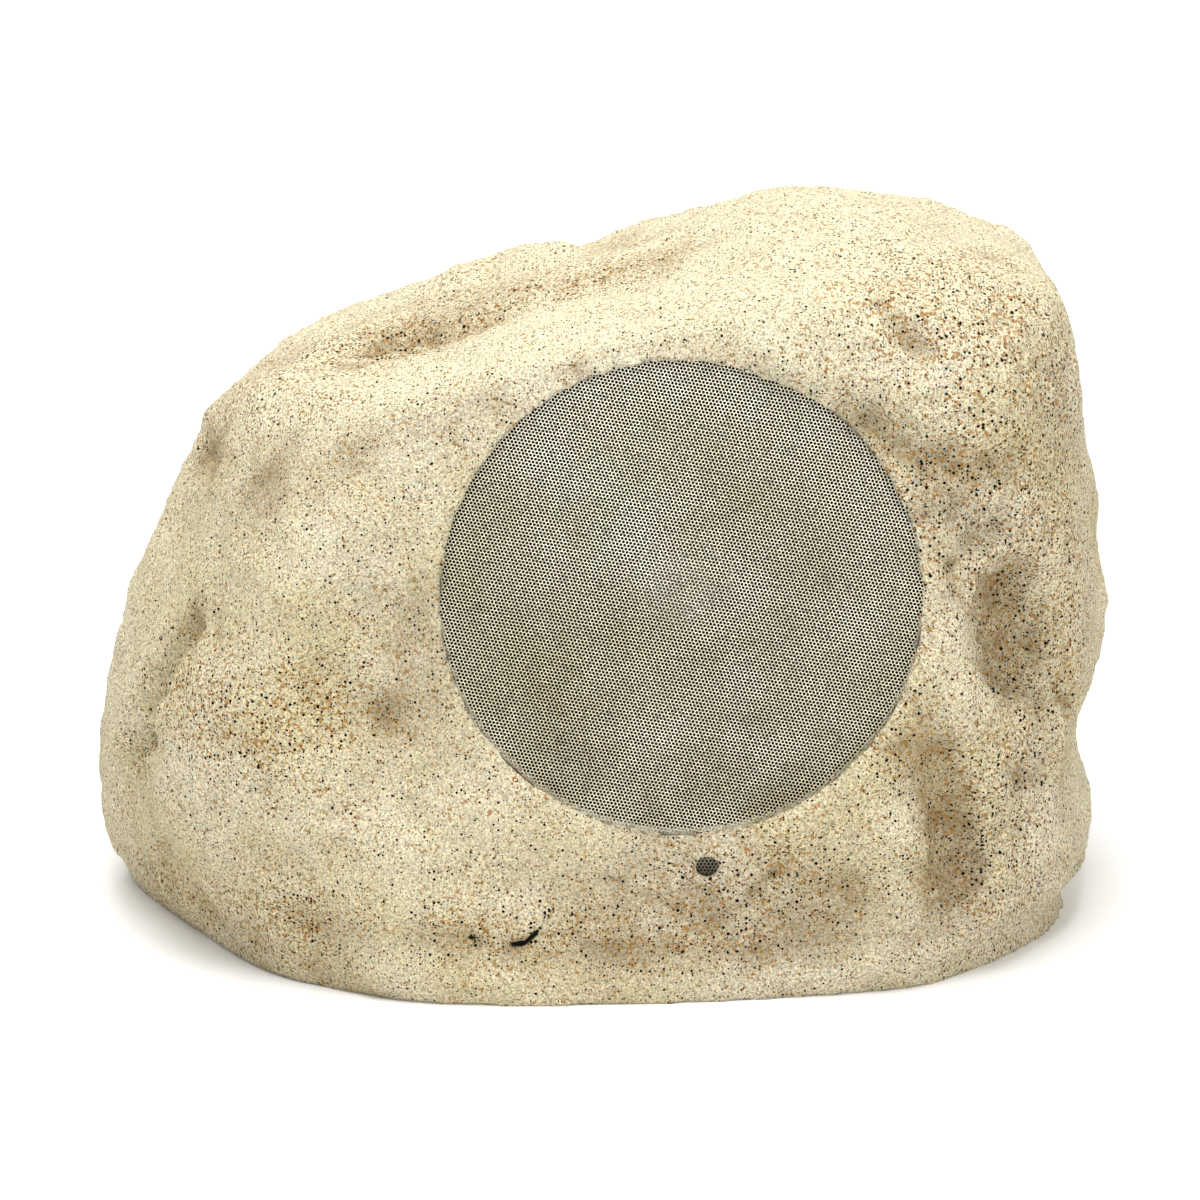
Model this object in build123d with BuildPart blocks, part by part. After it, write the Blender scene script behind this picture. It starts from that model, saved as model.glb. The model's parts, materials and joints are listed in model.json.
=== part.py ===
"""Garden loudspeaker moulded as a boulder, with a coaxial driver behind a round perforated grille.

Millimetres, +Z up. The origin lies on the ground under the middle of the boulder, and the grille faces -Y.
"""

import math
import os

from build123d import *

# Boulder
rock_width = 368.0
rock_depth = 304.0
rock_height = 266.0
wall = 9.0
roof = 10.0
outline_fullness = 2.4
outline_points = 36

# Flattened front that carries the grille
face_setback = 1.0
face_tilt = 5.0
face_blend = 8.0

# Foot of the shell, with the recess for the base plate
rim_wall = 8.0
ledge_height = 12.0
ledge_thickness = 6.0
ledge_reach = 21.0
plate_thickness = 5.0
gasket_thickness = 3.0
plate_clearance = 0.6
plate_rib_height = 8.0
plate_rib_thickness = 3.0
plate_rib_spacing = 84.0
base_screw_count = 6
base_screw_turn = 60.0

# Screws, shared by the base plate, the driver and the crossover board
screw_clearance = 0.15
base_screw_radius = 2.0
base_screw_length = 22.0
base_boss_radius = 9.0
base_boss_height = 24.0
base_boss_inset = 15.5
driver_screw_radius = 1.9
driver_screw_length = 11.0
driver_screw_count = 4
board_screw_radius = 1.4
board_screw_length = 8.0
head_ratio = 1.8
head_height = 2.4

# Grille and the recess it is pressed into
grille_offset = 28.0
grille_height = 145.0
grille_diameter = 168.0
grille_sheet = 1.0
grille_depth = 16.0
grille_recess = 3.0
grille_clearance = 0.4
grille_edge_radius = 2.0
grille_margin = 5.0
hole_pitch = 17.0
hole_across = 10.0
baffle_thickness = 12.0
baffle_radius = 104.0

# Small screened vent under the grille
vent_across = 9.2
vent_drop = 95.0
vent_radius = 4.2
vent_screen_radius = 6.2
vent_lip = 7.0
vent_hole_pitch = 2.8
vent_hole_across = 1.6

# Woofer, measured along its axis from the baffle's face
driver_gasket = 2.0
flange_radius = 79.0
flange_thickness = 1.8
cutout_radius = 71.0
basket_sheet = 1.6
basket_mouth = 69.0
basket_waist = 49.0
ledge_depth = 44.0
drum_radius = 43.0
drum_depth = 58.0
basket_window_count = 6
basket_window_width = 26.0
driver_screw_circle = 75.4
roll_radius = 5.0
roll_sheet = 0.8
roll_drop = 7.0
surround_lip = 4.5
cone_sheet = 1.2
cone_neck_depth = 32.0
former_radius = 19.0
former_sheet = 0.5
former_length = 41.0
winding_thickness = 1.2
winding_length = 11.0
winding_depth = 57.0
spider_sheet = 0.8
spider_rise = 8.0
spider_waves = 3
spider_wave_height = 1.2
top_plate_thickness = 5.4
top_plate_radius = 45.0
gap_clearance = 0.6
magnet_thickness = 16.0
magnet_radius = 50.0
magnet_bore = 27.0
yoke_thickness = 6.0
yoke_radius = 47.0

# Tweeter on a post through the woofer's pole
post_radius = 6.0
post_bore = 3.0
post_clearance = 0.05
tweeter_radius = 16.5
tweeter_wall = 1.5
tweeter_length = 16.0
tweeter_setback = 5.0
tweeter_magnet_radius = 11.0
tweeter_magnet_thickness = 6.0
dome_radius = 12.0
dome_rise = 4.0
dome_sheet = 0.6
trim_thickness = 1.6

# Woofer's terminals
terminal_width = 20.0
terminal_thickness = 1.8
terminal_reach = 62.0
tag_width = 4.8
tag_length = 7.0
tag_thickness = 0.8
tag_spacing = 8.0

# Crossover, on posts of the base plate
board_width = 112.0
board_depth = 74.0
board_thickness = 1.6
board_x = -10.0
board_y = 56.0
board_inset = 6.0
post_height = 12.0
board_post_radius = 4.0
coil_radius = 19.0
coil_height = 18.0
coil_bore = 8.0
small_coil_radius = 13.0
small_coil_height = 14.0
small_coil_bore = 5.0
capacitor_radius = 6.5
capacitor_length = 28.0
capacitor_count = 3
resistor_length = 40.0
resistor_width = 9.0
resistor_height = 8.0
block_width = 30.0
block_depth = 11.0
block_height = 10.0
lead_radius = 3.2
tweeter_lead_radius = 1.4

# Cable gland low in the back of the shell
gland_x = 0.0
gland_z = 42.0
gland_seat_depth = 24.0
gland_wall = 10.0
gland_boss_radius = 20.0
gland_pocket_radius = 17.0
gland_thread_radius = 8.0
gland_hex = 12.0
gland_flange = 4.5
gland_neck_radius = 9.5
gland_neck_length = 9.0
gland_nut_thickness = 5.0
gland_cap_length = 10.0
gland_cap_end = 2.5
gland_shank = 16.0
cable_radius = 3.5
seal_radius = 6.0
gland_clearance = 0.2

# The boulder at rising levels. Each row gives a height in percent of the rock's, then how far its left,
# right, front and back sides stand from the middle, in percent of half the width or half the depth.
LEVELS = (
    (0.0, -96.0, 94.0, -106.0, 95.0),
    (7.5, -99.5, 97.5, -110.0, 97.5),
    (17.0, -100.0, 98.0, -112.0, 99.0),
    (27.0, -98.5, 96.0, -113.0, 98.5),
    (36.5, -95.5, 99.5, -113.0, 96.0),
    (47.0, -90.0, 98.5, -112.0, 92.0),
    (56.5, -84.0, 97.5, -112.0, 86.0),
    (65.0, -78.5, 95.5, -112.0, 79.0),
    (72.5, -70.0, 94.0, -112.0, 72.0),
    (79.0, -54.0, 92.5, -112.0, 62.0),
    (84.5, -30.0, 89.5, -108.0, 51.0),
    (89.5, -6.0, 85.0, -96.0, 39.5),
    (93.5, 11.0, 76.0, -80.0, 25.0),
    (96.5, 22.0, 65.5, -63.0, 9.0),
    (99.0, 30.0, 53.0, -49.0, -5.0),
    (100.0, 34.0, 46.0, -38.0, -16.0),
)

# Flat faces that cut it, the first for the grille: bearing in degrees from +X, how deep the face cuts into an
# oval of the boulder's width and depth, and how much further out it stands for each millimetre of height.
FACETS = (
    (-90.0, face_setback, -math.tan(math.radians(face_tilt))),
    (-151.0, 15.5, 0.5),
    (-120.0, 0.1, 0.3),
    (-79.0, 1.8, 0.15),
    (-40.0, -4.5, 0.3),
)

# Hollows in its sides: bearing in degrees from +X, height, half width, half height and depth.
HOLLOWS = (
    (-39.0, 132.0, 30.0, 45.0, 9.0),
    (-118.0, 118.0, 30.0, 35.0, 3.0),
    (-156.0, 92.0, 22.0, 45.0, 5.0),
    (62.0, 150.0, 45.0, 40.0, 8.0),
    (128.0, 70.0, 50.0, 45.0, 9.0),
)

# Grooves worn into it by weather, each from one place to another: bearing and rise of both places in degrees,
# as seen from the boulder's heart, then the groove's radius and its depth.
heart_height = 110.0
GROOVES = (
    ((-80.0, 61.0), (-139.0, 48.0), 36.0, 4.5),
    ((-39.0, 10.0), (-38.0, 2.0), 34.0, 5.5),
    ((-48.0, -9.0), (-45.0, -20.0), 24.0, 5.0),
    ((-121.5, 11.0), (-122.5, 0.0), 70.0, 3.5),
    ((-144.0, 5.0), (-154.0, -11.0), 18.0, 2.5),
    ((-52.0, 40.0), (-50.0, 36.0), 14.0, 3.5),
    ((-46.0, 19.0), (-41.0, 17.0), 16.0, 3.5),
)


def facet_reach(facet, height):
    """How far a flat face stands from the boulder's middle at a height."""
    bearing, cut, lean = facet
    across = rock_width / 2 * math.cos(math.radians(bearing))
    along = rock_depth / 2 * math.sin(math.radians(bearing))
    return math.hypot(across, along) - cut + lean * height


def front_face(height):
    """How far back the flattened front stands at a height."""
    return -facet_reach(FACETS[0], height)


def flatten(x, y, height, inset):
    """Presses a point of the outline back behind the flat faces, with a soft corner."""
    for facet in FACETS:
        across, along = math.cos(math.radians(facet[0])), math.sin(math.radians(facet[0]))
        beyond = x * across + y * along - (facet_reach(facet, height) - inset)
        back = (beyond + math.hypot(beyond, face_blend)) / 2
        x -= back * across
        y -= back * along
    return x, y


def hollow_pull(bearing, radius, height):
    """How far the hollows pull a point of the boulder towards its middle."""
    pull = 0.0
    for at_bearing, at_height, half_width, half_height, depth in HOLLOWS:
        turn = math.radians((bearing - at_bearing + 180) % 360 - 180)
        reach = (turn * radius / half_width) ** 2 + ((height - at_height) / half_height) ** 2
        pull += depth * math.exp(-reach)
    return pull


def boulder_outline(level, inset=0.0):
    """Points round the boulder at one of its levels, moved inwards by a wall's thickness."""
    share, left, right, front, back = (value / 100 for value in level)
    height = share * rock_height
    low_x, high_x = left * rock_width / 2, right * rock_width / 2
    low_y, high_y = front * rock_depth / 2, back * rock_depth / 2
    middle = Vector((low_x + high_x) / 2, (low_y + high_y) / 2)
    shrink = min(1.0, (high_x - low_x) / (4 * wall))
    half_x = (high_x - low_x) / 2 - inset * shrink
    half_y = (high_y - low_y) / 2 - inset * shrink
    points = []
    for step in range(outline_points):
        angle = 2 * math.pi * step / outline_points
        x = half_x * math.copysign(abs(math.cos(angle)) ** (2 / outline_fullness), math.cos(angle))
        y = half_y * math.copysign(abs(math.sin(angle)) ** (2 / outline_fullness), math.sin(angle))
        x, y = flatten(middle.X + x, middle.Y + y, height, inset)
        bearing = math.atan2(y, x)
        pull = hollow_pull(math.degrees(bearing), math.hypot(x, y), height)
        points.append((x - pull * math.cos(bearing), y - pull * math.sin(bearing)))
    return points


def foot_point(bearing, inset):
    """The point of the foot's outline at a bearing, moved inwards."""
    outline = boulder_outline(LEVELS[0], inset)
    return min(outline, key=lambda p: abs((math.degrees(math.atan2(p[1], p[0])) - bearing + 180) % 360 - 180))


def bend_radii(points):
    """The largest arcs that a lead's corners take: 0.45 of the shorter run over the half turn's tangent."""
    radii = []
    for before, corner, after in zip(points, points[1:], points[2:]):
        turn = math.radians((corner - before).get_angle(after - corner))
        shorter = min((corner - before).length, (after - corner).length)
        radii.append(0.45 * shorter / math.tan(turn / 2))
    return radii


# Planes and axes that the pieces share
face_centre = Vector(grille_offset, front_face(grille_height), grille_height)
facing = Vector(0, -math.cos(math.radians(face_tilt)), math.sin(math.radians(face_tilt)))
baffle = Plane(face_centre - facing * (grille_recess + grille_depth), x_dir=(1, 0, 0), z_dir=facing)
driver_section = Plane(baffle.origin, x_dir=baffle.x_dir, z_dir=-baffle.y_dir)
driver_axis = Axis(baffle.origin, baffle.z_dir)
grille_radius = grille_diameter / 2
grille_seat_radius = grille_radius + grille_clearance
gland_seat = Plane((gland_x, rock_depth / 2 - gland_seat_depth, gland_z), x_dir=(1, 0, 0), z_dir=(0, 1, 0))
plate_bottom = ledge_height - gasket_thickness - plate_thickness
plate_top = ledge_height - gasket_thickness
base_bearings = [base_screw_turn + 360 / base_screw_count * n for n in range(base_screw_count)]
base_screw_places = [foot_point(bearing, base_boss_inset) for bearing in base_bearings]

# The boulder as a solid lump: a loft through its levels
with BuildPart() as boulder:
    for level in LEVELS:
        with BuildSketch(Plane.XY.offset(level[0] / 100 * rock_height)):
            with BuildLine():
                Spline(*boulder_outline(level), periodic=True)
            make_face()
    loft()

boulder_side = boulder.faces().sort_by(SortBy.AREA)[-1]


def groove_middle(place, radius, depth):
    """The middle of a round groove where a line from the boulder's heart leaves its side."""
    bearing, rise = (math.radians(angle) for angle in place)
    level = math.cos(rise)
    out = Vector(level * math.cos(bearing), level * math.sin(bearing), math.sin(rise))
    crossings = boulder_side.find_intersection_points(Axis((0, 0, heart_height), out))
    spot, normal = max(crossings, key=lambda crossing: crossing[0].dot(out))
    return spot + normal * (radius - depth) * math.copysign(1, normal.dot(out))


# The grooves as round bars with round ends, and the boulder that they have worn
with BuildPart() as grooves:
    for first_place, last_place, radius, depth in GROOVES:
        first = groove_middle(first_place, radius, depth)
        last = groove_middle(last_place, radius, depth)
        run = last - first
        bend = radius / math.sqrt(2)
        with BuildSketch(Plane(first, x_dir=run, z_dir=run.cross(Vector(0, 0, 1)))):
            with BuildLine():
                ThreePointArc((-radius, 0), (-bend, bend), (0, radius))
                Line((0, radius), (run.length, radius))
                ThreePointArc((run.length, radius), (run.length + bend, bend), (run.length + radius, 0))
                Line((run.length + radius, 0), (-radius, 0))
            make_face()
        revolve(axis=Axis(first, run))

with BuildPart() as worn_boulder:
    add(boulder.part)
    add(grooves.part, mode=Mode.SUBTRACT)

# The room inside it, above the ledge, through the same levels moved in by the wall
cavity_floor = ledge_height + ledge_thickness
cavity_height = rock_height - roof - cavity_floor
with BuildPart() as cavity:
    for level in LEVELS:
        with BuildSketch(Plane.XY.offset(cavity_floor + level[0] / 100 * cavity_height)):
            with BuildLine():
                Spline(*boulder_outline(level, wall), periodic=True)
            make_face()
    loft()

# What the mould adds inside: the baffle, the base plate's screw bosses and the gland's boss
with BuildPart() as inner_moulding:
    with BuildSketch(baffle.offset(-baffle_thickness)):
        Circle(baffle_radius)
    extrude(amount=baffle_thickness + grille_depth + grille_recess + face_setback)
    with BuildSketch(Plane.XY.offset(ledge_height)):
        with Locations(*base_screw_places):
            Circle(base_boss_radius)
    extrude(amount=base_boss_height)
    with BuildSketch(gland_seat.offset(-gland_wall)):
        Circle(gland_boss_radius)
    extrude(amount=gland_wall + gland_seat_depth)
    add(worn_boulder.part, mode=Mode.INTERSECT)

with BuildPart() as rock_shell:
    add(worn_boulder.part)
    add(cavity.part, mode=Mode.SUBTRACT)
    with BuildSketch(Plane.XY.offset(ledge_height)):
        with BuildLine():
            Spline(*boulder_outline(LEVELS[0], ledge_reach), periodic=True)
        make_face()
    extrude(amount=ledge_thickness, mode=Mode.SUBTRACT)
    add(inner_moulding.part)
    with BuildSketch(Plane.XY):
        with BuildLine():
            Spline(*boulder_outline(LEVELS[0], rim_wall), periodic=True)
        make_face()
    extrude(amount=ledge_height, mode=Mode.SUBTRACT)
    with BuildSketch(Plane.XY.offset(ledge_height)):
        with Locations(*base_screw_places):
            Circle(base_screw_radius + screw_clearance)
    extrude(amount=base_screw_length, mode=Mode.SUBTRACT)
    with BuildSketch(baffle):
        Circle(grille_seat_radius)
    extrude(amount=rock_depth, mode=Mode.SUBTRACT)
    with BuildSketch(baffle):
        Circle(cutout_radius)
    extrude(amount=-baffle_thickness, mode=Mode.SUBTRACT)
    with BuildSketch(baffle):
        with PolarLocations(driver_screw_circle, driver_screw_count, 45):
            Circle(driver_screw_radius + screw_clearance)
    extrude(amount=-driver_screw_length, mode=Mode.SUBTRACT)
    with BuildSketch(baffle):
        with Locations((vent_across, -vent_drop)):
            Circle(vent_radius)
    extrude(amount=rock_depth, mode=Mode.SUBTRACT)
    with BuildSketch(baffle.offset(grille_depth + grille_recess - vent_lip)):
        with Locations((vent_across, -vent_drop)):
            Circle(vent_screen_radius + grille_clearance)
    extrude(amount=-(baffle_thickness + grille_depth + grille_recess), mode=Mode.SUBTRACT)
    with BuildSketch(gland_seat):
        Circle(gland_pocket_radius)
    extrude(amount=rock_depth, mode=Mode.SUBTRACT)
    with BuildSketch(gland_seat):
        Circle(gland_thread_radius + gland_clearance)
    extrude(amount=-gland_wall, mode=Mode.SUBTRACT)


def lattice(pitch, reach):
    """Points of a hexagonal lattice within a reach of its middle."""
    rows = int(reach / pitch * 1.2) + 1
    points = []
    for row in range(-rows, rows + 1):
        for column in range(-rows, rows + 1):
            x = (column + 0.5 * (row % 2)) * pitch
            y = row * pitch * math.sqrt(3) / 2
            if math.hypot(x, y) <= reach:
                points.append((x, y))
    return points


# Base plate under the ledge, its gasket and its screws
screw_head_radius = base_screw_radius * head_ratio
with BuildPart() as base_plate:
    with BuildSketch(Plane.XY.offset(plate_bottom)):
        with BuildLine():
            Spline(*boulder_outline(LEVELS[0], rim_wall + plate_clearance), periodic=True)
        make_face()
    extrude(amount=plate_thickness)
    with BuildSketch(Plane.XY.offset(plate_top)):
        with GridLocations(plate_rib_spacing, plate_rib_spacing, 3, 1):
            Rectangle(plate_rib_thickness, rock_depth)
        with GridLocations(plate_rib_spacing, plate_rib_spacing, 1, 2):
            Rectangle(rock_width, plate_rib_thickness)
        with BuildLine():
            Spline(*boulder_outline(LEVELS[0], ledge_reach + base_boss_radius), periodic=True)
        make_face(mode=Mode.INTERSECT)
    extrude(amount=plate_rib_height)
    with BuildSketch(Plane.XY.offset(plate_top)):
        with Locations((board_x, board_y)):
            with GridLocations(board_width - 2 * board_inset, board_depth - 2 * board_inset, 2, 2):
                Circle(board_post_radius)
    extrude(amount=post_height)
    with BuildSketch(Plane.XY.offset(plate_top + post_height)):
        with Locations((board_x, board_y)):
            with GridLocations(board_width - 2 * board_inset, board_depth - 2 * board_inset, 2, 2):
                Circle(board_screw_radius + screw_clearance)
    extrude(amount=-board_screw_length, mode=Mode.SUBTRACT)
    with BuildSketch(Plane.XY.offset(plate_bottom)):
        with Locations(*base_screw_places):
            Circle(base_screw_radius + screw_clearance)
    extrude(amount=plate_thickness, mode=Mode.SUBTRACT)
    with BuildSketch(Plane.XY.offset(plate_bottom)):
        with Locations(*base_screw_places):
            Circle(screw_head_radius + screw_clearance)
    extrude(amount=head_height, mode=Mode.SUBTRACT)

with BuildPart() as base_gasket:
    with BuildSketch(Plane.XY.offset(plate_top)):
        with BuildLine():
            Spline(*boulder_outline(LEVELS[0], rim_wall + plate_clearance), periodic=True)
        make_face()
        with BuildLine():
            Spline(*boulder_outline(LEVELS[0], ledge_reach), periodic=True)
        make_face(mode=Mode.SUBTRACT)
        with Locations(*base_screw_places):
            Circle(base_screw_radius + screw_clearance, mode=Mode.SUBTRACT)
    extrude(amount=gasket_thickness)

with BuildPart() as base_screws:
    with BuildSketch(Plane.XY.offset(plate_bottom)):
        with Locations(*base_screw_places):
            Circle(screw_head_radius)
    extrude(amount=head_height)
    with BuildSketch(Plane.XY.offset(plate_bottom + head_height)):
        with Locations(*base_screw_places):
            Circle(base_screw_radius)
    extrude(amount=base_screw_length)

# Grille: a shallow pan, open towards the baffle, with hexagonal holes through its face
hole_reach = grille_radius - grille_margin - hole_across / math.sqrt(3)
with BuildPart() as grille:
    with BuildSketch(baffle):
        Circle(grille_radius)
    extrude(amount=grille_depth)
    fillet(grille.faces().sort_by(driver_axis)[-1].edges(), grille_edge_radius)
    with BuildSketch(baffle):
        Circle(grille_radius - grille_sheet)
    extrude(amount=grille_depth - grille_sheet, mode=Mode.SUBTRACT)
    with BuildSketch(baffle.offset(grille_depth)):
        with Locations(*lattice(hole_pitch, hole_reach)):
            RegularPolygon(hole_across / 2, 6, major_radius=False)
    extrude(amount=-grille_sheet, mode=Mode.SUBTRACT)

# Screen of the vent, glued behind its lip
with BuildPart() as vent_screen:
    with BuildSketch(baffle.offset(grille_depth + grille_recess - vent_lip)):
        with Locations((vent_across, -vent_drop)):
            Circle(vent_screen_radius)
            with Locations(*lattice(vent_hole_pitch, vent_radius - vent_hole_across / 2)):
                RegularPolygon(vent_hole_across / 2, 6, major_radius=False, mode=Mode.SUBTRACT)
    extrude(amount=-grille_sheet)

# Woofer: gasket and basket
flange_top = driver_gasket + flange_thickness
driver_screw_hole = driver_screw_radius + screw_clearance
driver_screw_head = driver_screw_radius * head_ratio
with BuildPart() as woofer_gasket:
    with BuildSketch(baffle):
        Circle(flange_radius)
        Circle(cutout_radius, mode=Mode.SUBTRACT)
        with PolarLocations(driver_screw_circle, driver_screw_count, 45):
            Circle(driver_screw_hole, mode=Mode.SUBTRACT)
    extrude(amount=driver_gasket)

with BuildPart() as woofer_basket:
    with BuildSketch(driver_section):
        with BuildLine():
            Polyline(
                (flange_radius, driver_gasket),
                (flange_radius, flange_top),
                (basket_mouth - basket_sheet, flange_top),
                (basket_waist - basket_sheet, -ledge_depth),
                (drum_radius - basket_sheet, -ledge_depth),
                (drum_radius - basket_sheet, -drum_depth),
                (magnet_bore, -drum_depth),
                (magnet_bore, -drum_depth - basket_sheet),
                (drum_radius, -drum_depth - basket_sheet),
                (drum_radius, -ledge_depth - basket_sheet),
                (basket_waist, -ledge_depth - basket_sheet),
                (basket_mouth, driver_gasket),
                close=True,
            )
        make_face()
    revolve(axis=driver_axis)
    with BuildSketch(baffle):
        with PolarLocations(driver_screw_circle, driver_screw_count, 45):
            Circle(driver_screw_hole)
    extrude(amount=flange_top, mode=Mode.SUBTRACT)
    with BuildSketch(baffle.offset(-ledge_depth * 0.2)):
        with PolarLocations(basket_mouth, basket_window_count):
            Rectangle(basket_mouth / 2, basket_window_width)
    extrude(amount=-ledge_depth * 0.66, mode=Mode.SUBTRACT)

# Moving parts: half-roll surround, cone, former and winding, centred by a corrugated spider
roll_outer = basket_mouth - basket_sheet / 2
roll_middle = roll_outer - roll_radius
roll_inner = roll_middle - roll_radius
lip_top = flange_top - roll_drop
lip_bottom = lip_top - roll_sheet
half_sheet = roll_sheet / 2
with BuildPart() as woofer_surround:
    with BuildSketch(driver_section):
        with BuildLine():
            under = Polyline(
                (driver_screw_circle - driver_screw_head, flange_top),
                (roll_outer - half_sheet, flange_top),
            )
            under_roll = ThreePointArc(
                under @ 1,
                (roll_middle, flange_top + roll_radius - half_sheet),
                (roll_inner + half_sheet, flange_top),
            )
            lip = Polyline(
                under_roll @ 1,
                (roll_inner + half_sheet, lip_bottom),
                (roll_inner - surround_lip, lip_bottom),
                (roll_inner - surround_lip, lip_top),
                (roll_inner - half_sheet, lip_top),
                (roll_inner - half_sheet, flange_top + roll_sheet),
            )
            over_roll = ThreePointArc(
                lip @ 1,
                (roll_middle, flange_top + roll_sheet + roll_radius + half_sheet),
                (roll_outer + half_sheet, flange_top + roll_sheet),
            )
            Polyline(
                over_roll @ 1,
                (driver_screw_circle - driver_screw_head, flange_top + roll_sheet),
                under @ 0,
            )
        make_face()
    revolve(axis=driver_axis)

former_outer = former_radius + former_sheet
with BuildPart() as woofer_cone:
    with BuildSketch(driver_section):
        with BuildLine():
            Polyline(
                (roll_inner, lip_bottom),
                (roll_inner - surround_lip, lip_bottom),
                (former_outer, -cone_neck_depth + cone_sheet),
                (former_outer, -cone_neck_depth - cone_sheet / 2),
                (roll_inner - surround_lip, lip_bottom - cone_sheet),
                (roll_inner, lip_bottom - cone_sheet),
                close=True,
            )
        make_face()
    revolve(axis=driver_axis)

with BuildPart() as coil_former:
    with BuildSketch(baffle.offset(-cone_neck_depth + cone_sheet)):
        Circle(former_outer)
        Circle(former_radius, mode=Mode.SUBTRACT)
    extrude(amount=-former_length)

with BuildPart() as coil_winding:
    with BuildSketch(baffle.offset(-winding_depth)):
        Circle(former_outer + winding_thickness)
        Circle(former_outer, mode=Mode.SUBTRACT)
    extrude(amount=-winding_length)

spider_seat = -ledge_depth
spider_hub = spider_seat + spider_rise
spider_rim = drum_radius - basket_sheet
spider_collar = former_outer + 2.5
wave_steps = [n / (2 * spider_waves) for n in range(2 * spider_waves + 1)]
spider_waist = []
for n, share in enumerate(wave_steps):
    wave = 0 if n in (0, 2 * spider_waves) else spider_wave_height * (-1) ** n
    reach = spider_rim + share * (spider_collar - spider_rim)
    spider_waist.append((reach, spider_seat + share * spider_rise + wave))
spider_under = [(basket_waist - 2 * basket_sheet, spider_seat)] + spider_waist + [(former_outer, spider_hub)]
spider_over = [(reach, height + spider_sheet) for reach, height in reversed(spider_under)]
with BuildPart() as woofer_spider:
    with BuildSketch(driver_section):
        with BuildLine():
            Polyline(*spider_under, *spider_over, close=True)
        make_face()
    revolve(axis=driver_axis)

# Magnet: top plate, ring magnet, and the yoke with its pole
plate_face = -drum_depth - basket_sheet
pole_radius = former_radius - gap_clearance
with BuildPart() as top_plate:
    with BuildSketch(baffle.offset(plate_face)):
        Circle(top_plate_radius)
        Circle(former_outer + winding_thickness + gap_clearance, mode=Mode.SUBTRACT)
    extrude(amount=-top_plate_thickness)

with BuildPart() as woofer_magnet:
    with BuildSketch(baffle.offset(plate_face - top_plate_thickness)):
        Circle(magnet_radius)
        Circle(magnet_bore, mode=Mode.SUBTRACT)
    extrude(amount=-magnet_thickness)

yoke_face = plate_face - top_plate_thickness - magnet_thickness
with BuildPart() as back_plate:
    with BuildSketch(baffle.offset(yoke_face)):
        Circle(yoke_radius)
    extrude(amount=-yoke_thickness)
    with BuildSketch(baffle.offset(yoke_face)):
        Circle(pole_radius)
    extrude(amount=plate_face - yoke_face)
    with BuildSketch(baffle.offset(plate_face)):
        Circle(post_radius + post_clearance)
    extrude(amount=yoke_face - yoke_thickness - plate_face, mode=Mode.SUBTRACT)

# Tweeter on its post
tweeter_rim = -tweeter_setback
tweeter_back = tweeter_rim - tweeter_length
tweeter_floor = tweeter_back + 2 * tweeter_wall
yoke_back = yoke_face - yoke_thickness
with BuildPart() as tweeter_post:
    with BuildSketch(baffle.offset(tweeter_back)):
        Circle(post_radius)
        Circle(post_bore, mode=Mode.SUBTRACT)
    extrude(amount=yoke_back - tweeter_back)

with BuildPart() as tweeter_housing:
    with BuildSketch(baffle.offset(tweeter_back)):
        Circle(tweeter_radius)
        Circle(post_bore, mode=Mode.SUBTRACT)
    extrude(amount=tweeter_floor - tweeter_back)
    with BuildSketch(baffle.offset(tweeter_floor)):
        Circle(tweeter_radius)
        Circle(tweeter_radius - tweeter_wall, mode=Mode.SUBTRACT)
    extrude(amount=tweeter_rim - tweeter_floor)

with BuildPart() as tweeter_magnet:
    with BuildSketch(baffle.offset(tweeter_floor)):
        Circle(tweeter_magnet_radius)
    extrude(amount=tweeter_magnet_thickness)

dome_top = tweeter_rim + dome_sheet
dome_sphere = (dome_radius**2 + dome_rise**2) / (2 * dome_rise)
dome_centre = dome_top + dome_rise - dome_sphere


def dome_point(sphere, reach):
    """A point of the dome's section on one of its two spheres."""
    return (reach, dome_centre + math.sqrt(sphere**2 - reach**2))


dome_hollow = dome_sphere - dome_sheet
dome_hollow_radius = math.sqrt(dome_hollow**2 - (tweeter_rim - dome_centre) ** 2)
with BuildPart() as tweeter_dome:
    with BuildSketch(driver_section):
        with BuildLine():
            outer_arc = ThreePointArc(
                dome_point(dome_sphere, 0),
                dome_point(dome_sphere, dome_radius / 2),
                (dome_radius, dome_top),
            )
            rim = Polyline(
                outer_arc @ 1,
                (tweeter_radius, dome_top),
                (tweeter_radius, tweeter_rim),
                (dome_hollow_radius, tweeter_rim),
            )
            inner_arc = ThreePointArc(
                rim @ 1,
                dome_point(dome_hollow, dome_radius / 2),
                dome_point(dome_hollow, 0),
            )
            Line(inner_arc @ 1, outer_arc @ 0)
        make_face()
    revolve(axis=driver_axis)

with BuildPart() as tweeter_trim:
    with BuildSketch(baffle.offset(dome_top)):
        Circle(tweeter_radius)
        Circle(dome_radius + dome_sheet, mode=Mode.SUBTRACT)
    extrude(amount=trim_thickness)

with BuildPart() as woofer_screws:
    with BuildSketch(baffle.offset(flange_top)):
        with PolarLocations(driver_screw_circle, driver_screw_count, 45):
            Circle(driver_screw_head)
    extrude(amount=head_height)
    with BuildSketch(baffle.offset(flange_top)):
        with PolarLocations(driver_screw_circle, driver_screw_count, 45):
            Circle(driver_screw_radius)
    extrude(amount=-driver_screw_length)

# Woofer's terminals, riveted under the basket's ledge
strip_top = -ledge_depth - basket_sheet
strip_bottom = strip_top - terminal_thickness
strip_start = drum_radius + terminal_thickness / 2
with BuildPart() as terminal_strip:
    with BuildSketch(baffle.offset(strip_top)):
        with Locations((0, -(strip_start + terminal_reach) / 2)):
            Rectangle(terminal_width, terminal_reach - strip_start)
    extrude(amount=-terminal_thickness)

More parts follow.
